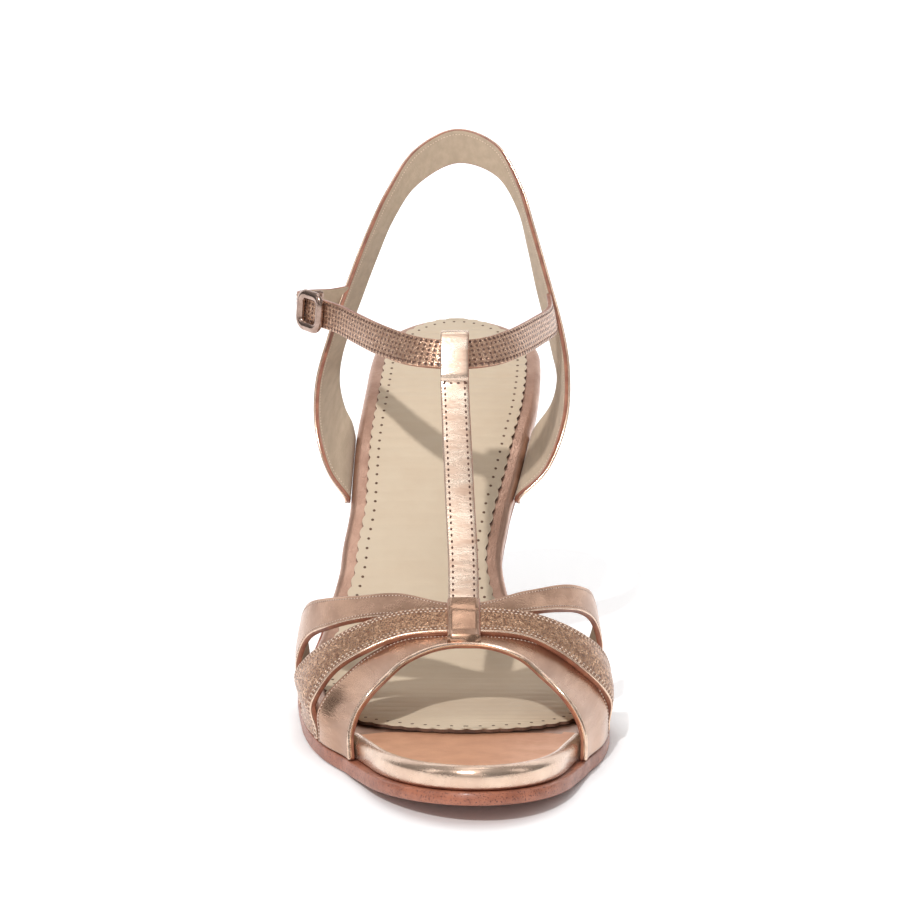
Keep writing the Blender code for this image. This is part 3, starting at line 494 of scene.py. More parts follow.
# %% A finish from the groups
SPECK_SIZE = 0.42              # millimetres
BROWN = (0.12, 0.05, 0.03, 1)  # what shows where the foil is off


def grouped(tree, group, place, **values):
    """Outputs of a node group that reads a place, with its own values."""
    made = node(tree, "ShaderNodeGroup", node_tree=group)
    tree.links.new(place, made.inputs["Place"])
    for key, value in values.items():
        made.inputs[key].default_value = value
    return made.outputs


def finish(name, light, dark, metallic, roughness, coat, cloud, grain, depth, on_uv=False, specks=0.0,
           speck_colour=BROWN, dots=None, stretch=(1, 1, 1), sheen=0.0):
    """Leather, paint or metal. Sizes are in millimetres, measured along the strap or over the object."""
    made = bpy.data.materials.new(name)
    made.use_nodes = True
    tree = made.node_tree
    shader = tree.nodes["Principled BSDF"]
    if on_uv:
        source = node(tree, "ShaderNodeUVMap", uv_map="UVMap").outputs[0]
    else:
        source = node(tree, "ShaderNodeTexCoord").outputs["Object"]
    place = node(tree, "ShaderNodeMapping", {"Vector": source, "Scale": [s / MM for s in stretch]}).outputs[0]
    foil = grouped(tree, CLOUD, place, Size=cloud, Light=(*light, 1), Dark=(*dark, 1))
    height = grouped(tree, GRAIN, place, Size=grain)["Height"]
    colour, metal, masks = foil["Colour"], metallic, []
    if specks:
        fine = node(tree, "ShaderNodeTexNoise", {"Vector": place, "Scale": 1 / SPECK_SIZE, "Detail": 2.0})
        few = 0.1 * (1 - specks)
        masks.append(node(tree, "ShaderNodeMapRange", {"Value": fine.outputs["Fac"], "From Min": 0.50 + few,
                                                       "From Max": 0.62 + few}).outputs[0])
    if dots:
        masks.append(grouped(tree, DOTS, place, Along=dots[0], Across=dots[1], Radius=dots[2])["Mask"])
    for mask in masks:
        colour = node(tree, "ShaderNodeMix", {"Factor": mask, 6: colour, 7: speck_colour},
                      data_type="RGBA").outputs[2]
        height = maths(tree, "SUBTRACT", height, mask)
        metal = maths(tree, "MULTIPLY", maths(tree, "SUBTRACT", 1.0, mask), metal)
    tree.links.new(colour, shader.inputs["Base Color"])
    if masks:
        tree.links.new(metal, shader.inputs["Metallic"])
    else:
        shader.inputs["Metallic"].default_value = metallic
    gloss = node(tree, "ShaderNodeMapRange", {"Value": foil["Rub"], "To Min": roughness + 0.07,
                                              "To Max": roughness - 0.03})
    tree.links.new(gloss.outputs[0], shader.inputs["Roughness"])
    bump = node(tree, "ShaderNodeBump", {"Strength": 1.0, "Distance": depth * MM, "Height": height})
    tree.links.new(bump.outputs[0], shader.inputs["Normal"])
    shader.inputs["Coat Weight"].default_value = coat
    shader.inputs["Coat Roughness"].default_value = 0.2
    shader.inputs["Sheen Weight"].default_value = sheen
    return made


# %% The finishes of this sandal
# light and dark colour, metallic, roughness, coat, then size of cloud, size of grain and depth in millimetres
FINISHES = {
    "smooth foil leather": ((0.55, 0.335, 0.225), (0.38, 0.215, 0.14), 0.9, 0.25, 0.2, 11.0, 0.5, 0.03),
    # the T strap's foil: a lighter copy of the smooth foil, its light colour a painted highlight
    "foil leather painted highlight": ((0.93, 0.75, 0.61), (0.62, 0.42, 0.31), 0.9, 0.25, 0.3, 6.0, 0.45, 0.028),
    "grained foil leather": ((0.74, 0.455, 0.285), (0.31, 0.148, 0.085), 0.85, 0.27, 0.0, 1.2, 0.5, 0.17),
    "punched foil leather": ((0.82, 0.54, 0.38), (0.46, 0.25, 0.165), 0.88, 0.25, 0.2, 1.2, 0.45, 0.12),
    # pipings: a lighter copy of the foil leather, painted highlight of the rolled edges
    "rolled edge painted highlight": ((0.88, 0.68, 0.53), (0.70, 0.47, 0.35), 0.92, 0.20, 0.4, 3.0, 0.6, 0.02),
    "painted edge": ((0.42, 0.165, 0.095), (0.25, 0.085, 0.05), 0.0, 0.42, 0.3, 4.0, 0.4, 0.03),
    "strap lining": ((0.56, 0.43, 0.31), (0.48, 0.365, 0.26), 0.0, 0.8, 0.0, 3.0, 0.25, 0.05),
    # seam grooves: dark tubes under the stitches, painted shade of the grooves
    "seam groove painted shade": ((0.30, 0.155, 0.105), (0.20, 0.10, 0.07), 0.3, 0.5, 0.0, 2.0, 0.3, 0.03),
    "insole foil leather": ((0.57, 0.352, 0.262), (0.45, 0.265, 0.193), 0.85, 0.33, 0.15, 7.0, 0.5, 0.08),
    # the insole's front roll: a lighter copy of the insole foil, painted highlight
    "insole roll painted highlight": ((0.82, 0.61, 0.47), (0.68, 0.47, 0.35), 0.9, 0.25, 0.6, 9.0, 0.5, 0.02),
    "toe foil leather": ((0.80, 0.42, 0.25), (0.70, 0.355, 0.21), 0.5, 0.42, 0.0, 6.0, 0.4, 0.04),
    "sock leather": ((0.70, 0.57, 0.42), (0.68, 0.545, 0.398), 0.0, 0.72, 0.0, 9.0, 0.4, 0.012),
    # the sock's cut edge: dark brown, painted shade under the pinked edge
    "sock edge painted shade": ((0.16, 0.08, 0.05), (0.09, 0.045, 0.03), 0.0, 0.8, 0.0, 2.0, 0.3, 0.05),
    "outsole leather": ((0.46, 0.165, 0.093), (0.31, 0.10, 0.055), 0.0, 0.40, 0.3, 5.0, 0.35, 0.05),
    "heel tip rubber": ((0.10, 0.065, 0.055), (0.07, 0.045, 0.04), 0.0, 0.6, 0.0, 3.0, 0.3, 0.03),
    "light thread": ((0.92, 0.76, 0.62), (0.80, 0.62, 0.50), 0.1, 0.5, 0.0, 2.0, 0.3, 0.03),
    "dark thread": ((0.15, 0.066, 0.042), (0.09, 0.04, 0.027), 0.0, 0.6, 0.0, 2.0, 0.3, 0.03),
    "pinhole shadow": ((0.18, 0.10, 0.062), (0.12, 0.065, 0.04), 0.0, 0.8, 0.0, 2.0, 0.3, 0.03),
    "buckle metal": ((0.50, 0.36, 0.30), (0.34, 0.225, 0.18), 1.0, 0.2, 0.2, 4.0, 0.8, 0.015),
}
ON_UV = list(FINISHES)[:8]     # the finishes of swept pieces follow the strap
EXTRAS = {
    "foil leather painted highlight": {"stretch": (1.6, 0.5, 1)},
    "grained foil leather": {"specks": 0.8},
    "punched foil leather": {"specks": 0.12, "dots": (1.75, 1.35, 0.44)},   # pitch along, across, radius
    "strap lining": {"sheen": 0.2},
    "sock leather": {"sheen": 0.1},
    "outsole leather": {"specks": 0.35, "speck_colour": (0.12, 0.035, 0.022, 1)},
}
LOOKS = {name: finish(name.replace(" ", "_"), *row, on_uv=name in ON_UV, **EXTRAS.get(name, {}))
         for name, row in FINISHES.items()}
print(len(LOOKS), "finishes")

# %% [markdown]
# ## Straps as swept bands
# A real strap is outer leather folded over a lining, with painted cut edges. It could be a flat strip with a
# Solidify modifier, but then its corners stay square and its edges can't have their own paint. Here a rounded
# section is swept along the strap, and each side of the section gets its own finish.

# %% Meshes and pieces
SHARP = math.radians(50)       # edges of the sole and heel turn sharper than this


def unit(vectors):
    return vectors / np.linalg.norm(vectors, axis=-1, keepdims=True)


def add(name, data):
    """New object in the scene."""
    made = bpy.data.objects.new(name, data)
    bpy.context.collection.objects.link(made)
    return made


def skin(name, verts, faces, zones, looks, uv=None):
    """Smooth object with a finish for each face, and all normals outwards."""
    mesh = bpy.data.meshes.new(name)
    mesh.from_pydata(verts, [], faces)
    mesh.polygons.foreach_set("material_index", zones)
    layer = mesh.uv_layers.new(name="UVMap")
    if uv is not None:
        layer.data.foreach_set("uv", uv.ravel())
    for look in looks:
        mesh.materials.append(LOOKS[look])
    bm = bmesh.new()
    bm.from_mesh(mesh)
    bmesh.ops.recalc_face_normals(bm, faces=bm.faces)
    bm.to_mesh(mesh)
    bm.free()
    mesh.shade_smooth()
    return add(name, mesh)


def ring_mesh(name, rings, zones, looks, uv=None, closed=False):
    """Skin over rings of points. zones gives the finish of each strip round the ring."""
    rings = np.asarray(rings)
    count, around = rings.shape[:2]
    faces, marks, corners = [], [], []
    for i in range(count - (not closed)):
        j = (i + 1) % count
        for k in range(around):
            m = (k + 1) % around
            faces.append((i * around + k, i * around + m, j * around + m, j * around + k))
            marks.append(zones[k])
            corners += [(i, k), (i, k + 1), (i + 1, k + 1), (i + 1, k)]
    if not closed:
        faces += [tuple(range(around)), tuple((count - 1) * around + k for k in range(around))[::-1]]
        marks += [zones[0], zones[0]]
    if uv is not None:
        along, across = uv
        at = np.array(corners)
        uv = np.zeros((sum(map(len, faces)), 2))
        uv[:len(at), 0] = np.asarray(along)[at[:, 0]]
        uv[:len(at), 1] = np.asarray(across)[at[:, 1]]
    return skin(name, rings.reshape(-1, 3).tolist(), faces, marks, looks, uv)


def place_piece(made, look, nodes=()):
    """Hand a finished piece to the frame."""
    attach(made, "root")
    if nodes:
        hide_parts(*nodes)
    print(made.name, len(made.data.polygons), "faces")


# %% Strap section
CORNER_STEPS = (60, 30, 0)     # degrees round each rounded corner


def crease_relief(creases, run, width_at):
    """Soft troughs across a strap: place along, lean, depth and half length in millimetres."""
    relief = np.zeros((len(width_at), len(run)))
    for where, lean, deep, spread in creases:
        line = run[None, :] - where * MM - lean * width_at
        relief -= deep * MM * np.exp(-(line / (spread * MM)) ** 2)
    return relief


def swept_strap(name, columns, face_look, nodes=(), lining="strap lining", outward=-1, wall=STRAP_WALL,
                corner=0.38 * MM, crown=0.12 * MM, creases=()):
    """Strap with rounded corners, from columns of its middle surface. Gives the surface and its directions."""
    grid = np.array([[tuple(p) for p in column] for column in columns])
    middle = grid.mean(axis=0)
    across = unit(np.gradient(grid, axis=0))
    normal = unit(np.cross(np.gradient(middle, axis=0)[None], across)) * outward
    half, run, n = wall / 2, run_of(middle), len(grid)
    share = np.linspace(-1, 1, n)
    width_at = share[:, None] * np.linalg.norm(grid[-1] - grid[0], axis=1)[None] / 2
    relief = crease_relief(creases, run, width_at) * (1 - share[:, None] ** 6)
    face = grid.copy()
    face[0] += across[0] * corner
    face[-1] -= across[-1] * corner
    lift = half + crown * (1 - share[:, None, None] ** 2) + relief[..., None]
    ring = list(face + normal * lift)

    def rounded(edge, out, up, side):
        centre = edge - out * corner + up * side * (half - corner)
        return [centre + (out * math.cos(math.radians(a)) + up * side * math.sin(math.radians(a))) * corner
                for a in CORNER_STEPS[::side]]

    ring += rounded(grid[-1], across[-1], normal[-1], 1) + rounded(grid[-1], across[-1], normal[-1], -1)
    ring += list(face[::-1] - normal[::-1] * half)
    ring += rounded(grid[0], -across[0], -normal[0], 1) + rounded(grid[0], -across[0], -normal[0], -1)
    rings = np.array(ring).transpose(1, 0, 2)
    zones = [0] * n + [1] * 5 + [2] * n + [1] * 5 + [0] * 2
    section = rings[len(rings) // 2]
    around = run_of(np.vstack([section, section[:1]]))
    made = ring_mesh(name, rings, zones, [face_look, "painted edge", lining], (run, around - around[n - 1] / 2))
    place_piece(made, face_look, nodes)
    return grid, across, normal, half


def edge_row(strap, edge, inside, start=0.0, end=1.0):
    """Points on a strap's outer face, some millimetres inside its first (0) or last (-1) edge, and the normals."""
    grid, across, normal, half = strap
    inward = across[edge] * (inside if edge == 0 else -inside) * MM
    points = grid[edge] + inward + normal[edge] * (half + THREAD_LIFT)
    part = slice(int(start * len(points)), int(end * len(points)))
    return points[part], normal[edge][part]


def tube(name, points, radius, up, look, nodes=(), closed=False, flat=1.0, segments=12):
    """Round bar or piping along points. up is square to it, one vector or one per point."""
    points = np.array([tuple(p) for p in points])
    way = np.roll(points, -1, 0) - np.roll(points, 1, 0) if closed else np.gradient(points, axis=0)
    side = unit(np.cross(unit(way), np.broadcast_to(up, points.shape)))
    over = unit(np.cross(side, way))
    turn = np.linspace(0, 2 * np.pi, segments, endpoint=False)[:, None, None]
    rings = points + side * np.cos(turn) * radius + over * np.sin(turn) * radius * flat
    made = ring_mesh(name, rings.transpose(1, 0, 2), [0] * segments, [look],
                     ([*run_of(points), 0], np.linspace(0, 2 * np.pi * radius, segments + 1)), closed)
    place_piece(made, look, nodes)


# %% [markdown]
# ## Vamp straps
# Three straps cross the forefoot and meet under a loop. Each lies on the last, so its two edges are read off
# the last's surface. The front strap's edge is rolled over a cord, and the other two have a thin piping.

# %% Vamp straps
STRAP_STATIONS, STRAP_COLUMNS = 220, 11
# face, table, and each crease: where along, lean, depth and half length in millimetres
VAMP = {
    "rear": ("smooth foil leather", REAR_STRAP, (
        (9.0, 0.3, 0.10, 1.3), (13.5, 0.25, 0.08, 1.1), (28.0, -0.2, 0.05, 2.5), (52.0, 0.2, 0.06, 2.2),
        (58.0, -0.2, 0.08, 1.6), (96.0, 0.3, 0.07, 1.8), (104.0, -0.3, 0.10, 1.4))),
    "middle": ("grained foil leather", MIDDLE_STRAP, (
        (10.0, 0.4, 0.08, 1.2), (17.0, 0.3, 0.05, 1.8), (88.0, -0.3, 0.06, 1.8), (96.0, -0.4, 0.08, 1.2))),
    "front": ("smooth foil leather", FRONT_STRAP, (
        (7.0, 0.4, 0.12, 1.2), (12.0, 0.5, 0.10, 1.4), (20.0, 0.3, 0.06, 2.0), (74.0, -0.4, 0.08, 1.6),
        (80.0, -0.5, 0.10, 1.2))),
}
vamp = {}
for name, (face_look, table, creases) in VAMP.items():
    stations = smooth_columns(table, STRAP_STATIONS)
    columns = [[last_point(turn, rear + (front - rear) * share, lift * STRAP_WALL)
                for turn, rear, front, lift in stations] for share in np.linspace(0, 1, STRAP_COLUMNS)]
    vamp[name] = swept_strap(f"{name}_vamp_strap", columns, face_look, ["vamp_upper"], creases=creases)

# %% Pipings on the straps' front edges
# The pipings' lighter foil is a painted highlight where the rolled edges catch the light.
for name, radius, inside, lift in (("front", 0.62, 0.40, 0.42), ("middle", 0.34, 0.30, 0.62),
                                   ("rear", 0.22, 0.24, 0.66)):
    grid, across, normal, _ = vamp[name]
    line = grid[-1] - across[-1] * inside * MM + normal[-1] * lift * MM
    tube(f"{name}_strap_piping", line, radius * MM, normal[-1], "rolled edge painted highlight")


# %% Loop over the vamp straps
def level_columns(line, width, count=9):
    """Columns of a strap whose width lies level, from its middle line."""
    half = Vector((width / 2, 0, 0))
    return [[p + half * share for p in line] for share in np.linspace(-1, 1, count)]


inner, outer = -KNOT_BELOW, (MIDDLE_LIFT + 0.5) * STRAP_WALL + KNOT_WALL
line = [last_point(0.5, along, (inner + outer) / 2) for along in np.linspace(KNOT_FROM, KNOT_TO, 48)]
swept_strap("vamp_loop", level_columns(line, TEE_WIDTH + 2 * GAP, 13), "smooth foil leather",
            lining="smooth foil leather", wall=outer - inner, corner=0.7 * MM, crown=0.2 * MM,
            creases=((3.0, 0.1, 0.08, 0.8), (10.6, -0.1, 0.12, 0.7)))

# %% [markdown]
# ## T strap and ankle strap
# The T strap runs up the instep and folds into a loop that the ankle strap is threaded through. The loop is
# sized from the part of the ankle strap that it carries, as on the bench.


# %% T strap with its loop
def tee_line():
    """Middle line of the T strap and of the end that closes its loop."""
    ahead = [s for s in ankle_stations() if s[0].y < BED_Y[-1] / 2]
    x = TEE[-1][1] * HALF_BALL
    middle, _, across = min(ahead, key=lambda s: abs(s[0].x - x))
    up = Vector((0, across.y, across.z)).normalized()
    front = Vector((0, -up.z, up.y))
    middle = Vector((x, middle.y, middle.z))
    threaded = [s for s in ahead if abs(s[0].x - x) < TEE_WIDTH / 2 + STRAP_WALL]
    depths = [(p - middle).dot(front) for p, _, _ in threaded]
    heights = [(p - middle).dot(up) for p, _, _ in threaded]
    deep = STRAP_WALL + LOOP_CLEARANCE
    high = (ANKLE_WIDTH + STRAP_WALL) / 2 + LOOP_CLEARANCE
    fore, aft = max(depths) + deep, min(depths) - deep
    top, low = max(heights) + high, min(heights) - high
    corner_u, corner_v = STRAP_WALL / 2, STRAP_WALL / 5
    over = ((low - deep, fore), (low / 2, fore), (top / 2, fore), (top - corner_u, fore - corner_v),
            (top, fore / 2), (top, aft / 2), (top - corner_u, aft + corner_v), (top / 2, aft), (low / 2, aft),
            (low - STRAP_WALL / 3, aft))
    points = [above_bed(*row) for row in TEE] + [middle + up * u + front * v for u, v in over]
    back = middle + up * (low + STRAP_WALL) + front * aft
    foot = middle + up * (low - 2 * deep) + front * (fore - STRAP_WALL / 2)
    return smooth_path(points, 300), [back.lerp(foot, share) for share in np.linspace(0, 1, 12)]


tee_run, tee_end = tee_line()
# The T strap's lighter foil finish is a painted highlight on the same leather as its end.
tee = swept_strap("tee_strap", level_columns(tee_run, TEE_WIDTH), "foil leather painted highlight",
                  creases=((14.0, 0.1, 0.05, 0.6), (16.2, -0.1, 0.06, 0.6), (18.6, 0.05, 0.05, 0.7),
                           (24.0, 0.1, 0.03, 1.2), (86.0, 0.1, 0.05, 0.7), (90.5, -0.1, 0.06, 0.7)))
swept_strap("tee_strap_end", level_columns(tee_end, TEE_WIDTH - 1.0 * MM), "smooth foil leather")

# %% Ankle strap
stations = ankle_stations(280)
columns = [[p + across * (ANKLE_WIDTH / 2 * share) for p, _, across in stations]
           for share in np.linspace(-1, 1, STRAP_COLUMNS)]
ankle = swept_strap("ankle_strap", columns, "punched foil leather", ["back_strap"],
                    creases=((60.0, 0.1, 0.06, 1.2), (96.0, -0.2, 0.07, 1.0), (128.0, 0.2, 0.08, 1.0)))

# %% [markdown]
# ## Back strap
# The sling round the heel starts beside the insole, rises on both sides and stands round the heel. From the
# front its beige lining shows, with a piping of foil leather along its top edge.

# %% Back strap
edges = []
for k, seat in enumerate(BACK_STRAP_SEAT):
    rows = [above_bed(*row[3 * k:3 * k + 3]) for row in BACK_STRAP]
    edges.append(smooth_path(seat_edge(seat, -1) + rows + seat_edge(seat, 1)[::-1], 240))
columns = [[a.lerp(b, share) for a, b in zip(*edges)] for share in np.linspace(0, 1, 9)]
back = swept_strap("heel_sling_strap", columns, "smooth foil leather", ["back_strap"], outward=1)
grid, across, normal, _ = back
tube("heel_sling_piping", grid[0] + across[0] * 0.25 * MM + normal[0] * 0.55 * MM, 0.42 * MM, normal[0],
     "rolled edge painted highlight")

# %% [markdown]
# ## Buckle
# The frame is cast metal with round bars. It is bent like wire here: one closed bar on the strap's outer face,
# and a second that passes behind the strap.

# %% Buckle
FRAME_CORNER = 2.6 * MM        # radius of the frame's corners
FRAME_INSET = 0.6 * MM         # frame's bar closer to the strap's edge than the CAD's
FRAME_BAR, CENTRE_BAR = 0.85, 0.42     # radii as shares of BUCKLE_BAR
near = [s for s in ankle_stations() if s[0].x < 0 and s[1].y > 0]
target = on_bed(BUCKLE_AT, 0).y
middle, way, across = min(near, key=lambda s: abs(s[0].y - target))
outward = across.cross(way).normalized()
if outward.x > 0:
    outward = -outward
reach = STRAP_WALL / 2 + BUCKLE_CLEARANCE + BUCKLE_BAR / 2
high = ANKLE_WIDTH / 2 + BUCKLE_CLEARANCE + BUCKLE_BAR / 2
long = (BUCKLE_LENGTH - BUCKLE_BAR) / 2
points = []
for quarter, (u, v) in enumerate(((1, 1), (-1, 1), (-1, -1), (1, -1))):
    for degrees in np.linspace(0, 90, 9):
        a = math.radians(degrees + 90 * quarter)
        points.append(middle + way * (u * (long - FRAME_CORNER) + FRAME_CORNER * math.cos(a))
                      + across * (v * (high - FRAME_INSET - FRAME_CORNER) + FRAME_CORNER * math.sin(a))
                      + outward * reach)
tube("buckle_frame_bar", points, BUCKLE_BAR * FRAME_BAR, outward, "buckle metal", ["buckle_frame"], closed=True,
     flat=0.75, segments=16)
corners = [middle + across * (k * high) + outward * (d * reach) for k, d in ((1, 1), (1, -1), (-1, -1), (-1, 1))]
line = [a.lerp(b, share) for a, b in zip(corners, corners[1:]) for share in np.linspace(0.04, 0.96, 12)]
tube("buckle_centre_bar", line, BUCKLE_BAR * CENTRE_BAR, way, "buckle metal")

# %% [markdown]
# ## Sole
# The insole board is wrapped in foil leather that rolls over its edge. The outsole is a leather sole with a
# painted edge, and the heel is covered. All are skins over rings that follow the footbed.


# %% Slabs that follow the footbed
def inward_of(flat):
    """Directions square to a closed plan line, to its inside."""
    way = np.roll(flat, -1, 0) - np.roll(flat, 1, 0)
    return unit(np.stack([-way[:, 1], way[:, 0]], 1))


def slab(name, plan, levels, zones, looks):
    """Solid between rings of one plan. levels are (inset, lift), zones the finish of each strip and cap."""
    points, sides, has_heel = plan
    flat = np.array([(p.x, p.y) for p in points])
    inward = inward_of(flat)
    if not has_heel:
        cut = flat[:, 1] > flat[sides, 1] - 1e-9
        inward[cut] = np.where(flat[cut, :1] > flat[cut, 0].mean(), -1, 1) * np.array([[1.0, 0.0]])
    verts, faces, marks = [], [], []
    n = len(flat)
    for distance, lift in levels:
        for i, (x, y) in enumerate(flat):
            step = distance(y / SOLE_LENGTH, i) if callable(distance) else distance
            at = (x + inward[i, 0] * step, y + inward[i, 1] * step)
            height = lift(at[1] / SOLE_LENGTH) if callable(lift) else lift
            verts.append(tuple(on_bed(at[1] / SOLE_LENGTH, at[0], height)))
    for ring in range(len(levels) - 1):
        a, b = ring * n, (ring + 1) * n
        faces += [(a + i, a + (i + 1) % n, b + (i + 1) % n, b + i) for i in range(n)]
        marks += [zones[ring + 1]] * n
    for base, zone in ((0, zones[0]), ((len(levels) - 1) * n, zones[-1])):
        cap = [(0, 1, n - 1)] + [(i, i + 1, n - i - 1, n - i) for i in range(1, sides)]
        if has_heel:
            cap.append((sides, sides + 1, sides + 2))
        faces += [tuple(base + i for i in face) for face in cap]
        marks += [zone] * len(cap)
    made = skin(name, verts, faces, marks, looks)
    made.data.set_sharp_from_angle(angle=SHARP)
    return made


# %% Insole
PLAN_STEPS = 150
ROLL_STEPS = 9
TOE_AREA = (8.5 * MM, 5.2 * MM)        # from the insole's side to the middle and the rim of the matt toe area
# the bright roll at the toe is a lighter copy of the insole foil: a painted highlight
TOE_AREA_END = -0.030          # the bright roll and the matt toe area end here, beside the ball
roll = [(INSOLE_ROLL * (1 - math.sin(t)), -INSOLE_ROLL * (1 - math.cos(t)))
        for t in np.linspace(0, math.pi / 2, ROLL_STEPS)]
levels = [(inset, 0.0) for inset in TOE_AREA] + roll
levels += [(0.0, INSOLE_ROLL / 4 - INSOLE_WALL), (INSOLE_ROLL / 4, -INSOLE_WALL)]
made = slab("wrapped_insole", outline(0.0, 1.0, steps=PLAN_STEPS), levels, [2] * 3 + [1] * ROLL_STEPS + [0] * 2,
            ["insole foil leather", "insole roll painted highlight", "toe foil leather"])
for face in made.data.polygons:
    if face.center.y > TOE_AREA_END:
        face.material_index = 0
place_piece(made, "insole foil leather", ["insole"])


# %% Outsole
def ledge(along, _=0):
    full = TOE_LEDGE + (SOLE_LEDGE - TOE_LEDGE) * ease(along / TOE_FADE)
    return -full * (1 - ease((along - LEDGE_TO) / LEDGE_FADE))


def under(along):
    wall = OUTSOLE_TOE_WALL + (OUTSOLE_WALL - OUTSOLE_TOE_WALL) * ease(along / TOE_FADE)
    wall += (OUTSOLE_WAIST_WALL - OUTSOLE_WALL) * ease((along - SHANK_FROM) / SHANK_FADE)
    return -INSOLE_WALL - GAP - wall


breast = 1 - (HEEL_LENGTH + GAP) / SOLE_LENGTH
levels = [(lambda along, i: ledge(along) + OUTSOLE_BEVEL / 3, -INSOLE_WALL - GAP),
          (ledge, -INSOLE_WALL - GAP - OUTSOLE_BEVEL / 3)]
for turn in np.linspace(0, math.pi / 2, 5):
    levels.append((lambda along, i, t=turn: ledge(along) + OUTSOLE_BEVEL * (1 - math.cos(t)),
                   lambda along, t=turn: under(along) + OUTSOLE_BEVEL * (1 - math.sin(t))))
made = slab("leather_outsole", outline(0.0, breast, heel=None, steps=PLAN_STEPS), levels,
            [0] * (len(levels) + 1), ["outsole leather"])
place_piece(made, "outsole leather", ["outsole"])

# %% [markdown]
# ## Sock
# The sock pad is stamped from beige leather with a pinked edge and a row of pinholes. The scallops are pushed
# into the outline itself, and a Geometry Nodes tree sets the pinholes at an even pitch along a line.

# %% Sock pad with its pinked edge
PINK_PITCH = 4.2 * MM          # scallops of the pinked edge
PINK_DEPTH = 0.75 * MM
CUT_SLOPE = 0.25 * MM          # how far the cut edge leans in at the top
sock_plan = outline(SOCK_START / SOLE_LENGTH, 1 - SOCK_END_MARGIN / SOLE_LENGTH, SOCK_MARGIN,
                    nose=SOCK_NOSE_ROUND, steps=420)
flat = np.array([(p.x, p.y) for p in sock_plan[0]])
lengths = run_of(np.vstack([flat, flat[:1]]))
PITCHES = round(lengths[-1] / PINK_PITCH)
PHASE = lengths[:-1] / lengths[-1] * PITCHES


def pinked(_, i, inside=0.0):
    """Rounded scallops with pointed notches."""
    return inside + PINK_DEPTH * (1 - abs(math.sin(math.pi * PHASE[i]))) - PINK_DEPTH / 3


# The sock's side strips take the dark edge finish: painted shade along its edge.
levels = [(lambda along, i: pinked(along, i, CUT_SLOPE), GAP + SOCK_WALL), (pinked, GAP + SOCK_WALL * 0.8),
          (pinked, GAP)]
made = slab("sock_pad", sock_plan, levels, [0, 0, 1, 1], ["sock leather", "sock edge painted shade"])
place_piece(made, "sock leather", ["sock"])
print(PITCHES, "scallops")


# %% Trees that set stitches and pinholes along lines
def row_tree(name, shape, **sizes):
    """Geometry Nodes: a small shape at an even pitch along every edge line."""
    tree, ins, outs = group_of(name, "GeometryNodeTree",
                               (("Lines", "NodeSocketGeometry"), ("Pitch", FLOAT), ("Length", FLOAT),
                                ("Width", FLOAT), ("Height", FLOAT), ("Finish", "NodeSocketMaterial")),
                               (("Mesh", "NodeSocketGeometry"),))
    curve = node(tree, "GeometryNodeMeshToCurve", {"Mesh": ins["Lines"]})
    even = node(tree, "GeometryNodeResampleCurve", {"Curve": curve.outputs[0], "Length": ins["Pitch"]},
                mode="LENGTH")
    up = node(tree, "GeometryNodeInputNamedAttribute", {"Name": "up"}, data_type="FLOAT_VECTOR")
    tangent = node(tree, "GeometryNodeInputTangent")
    stand = node(tree, "FunctionNodeAlignRotationToVector", {"Vector": up.outputs[0]}, axis="Z")
    turn = node(tree, "FunctionNodeAlignRotationToVector",
                {"Rotation": stand.outputs[0], "Vector": tangent.outputs[0]}, axis="X", pivot_axis="Z")
    size = node(tree, "ShaderNodeCombineXYZ", {0: ins["Length"], 1: ins["Width"], 2: ins["Height"]})
    item = node(tree, shape, {"Radius": 0.5, **sizes})
    on = node(tree, "GeometryNodeInstanceOnPoints", {"Points": even.outputs[0], "Instance": item.outputs[0],
                                                     "Rotation": turn.outputs[0], "Scale": size.outputs[0]})
    real = node(tree, "GeometryNodeRealizeInstances", {0: on.outputs[0]})
    smooth = node(tree, "GeometryNodeSetShadeSmooth", {0: real.outputs[0]})
    done = node(tree, "GeometryNodeSetMaterial", {"Geometry": smooth.outputs[0], "Material": ins["Finish"]})
    tree.links.new(done.outputs[0], outs["Mesh"])
    return tree


THREAD_ROW = row_tree("stitch row", "GeometryNodeMeshIcoSphere", Subdivisions=1)
HOLE_ROW = row_tree("pinhole row", "GeometryNodeMeshCylinder", Vertices=10, Depth=1.0)


def set_rows(name, tree, rows, sizes, look):
    """Run a row tree on lines of points with their normals, and keep the result as a plain mesh.

    sizes are the pitch and each shape's length, width and height in millimetres.
    """
    mesh = bpy.data.meshes.new(name)
    verts, edges, ups = [], [], []
    for points, normals in rows:
        edges += [(len(verts) + i, len(verts) + i + 1) for i in range(len(points) - 1)]
        verts += [tuple(map(float, p)) for p in points]
        ups += [tuple(map(float, v)) for v in normals]
    mesh.from_pydata(verts, edges, [])
    mesh.attributes.new("up", "FLOAT_VECTOR", "POINT").data.foreach_set("vector", np.ravel(ups))
    made = add(name, mesh)
    step = made.modifiers.new("rows", "NODES")
    step.node_group = tree
    values = {key: size * MM for key, size in zip(("Pitch", "Length", "Width", "Height"), sizes)}
    values["Finish"] = LOOKS[look]
    for item in tree.interface.items_tree:
        if item.in_out == "INPUT" and item.name in values:
            step[item.identifier] = values[item.name]
    bpy.context.view_layer.update()
    result = bpy.data.meshes.new_from_object(made.evaluated_get(bpy.context.evaluated_depsgraph_get()))
    made.modifiers.clear()
    made.data = result
    place_piece(made, look)


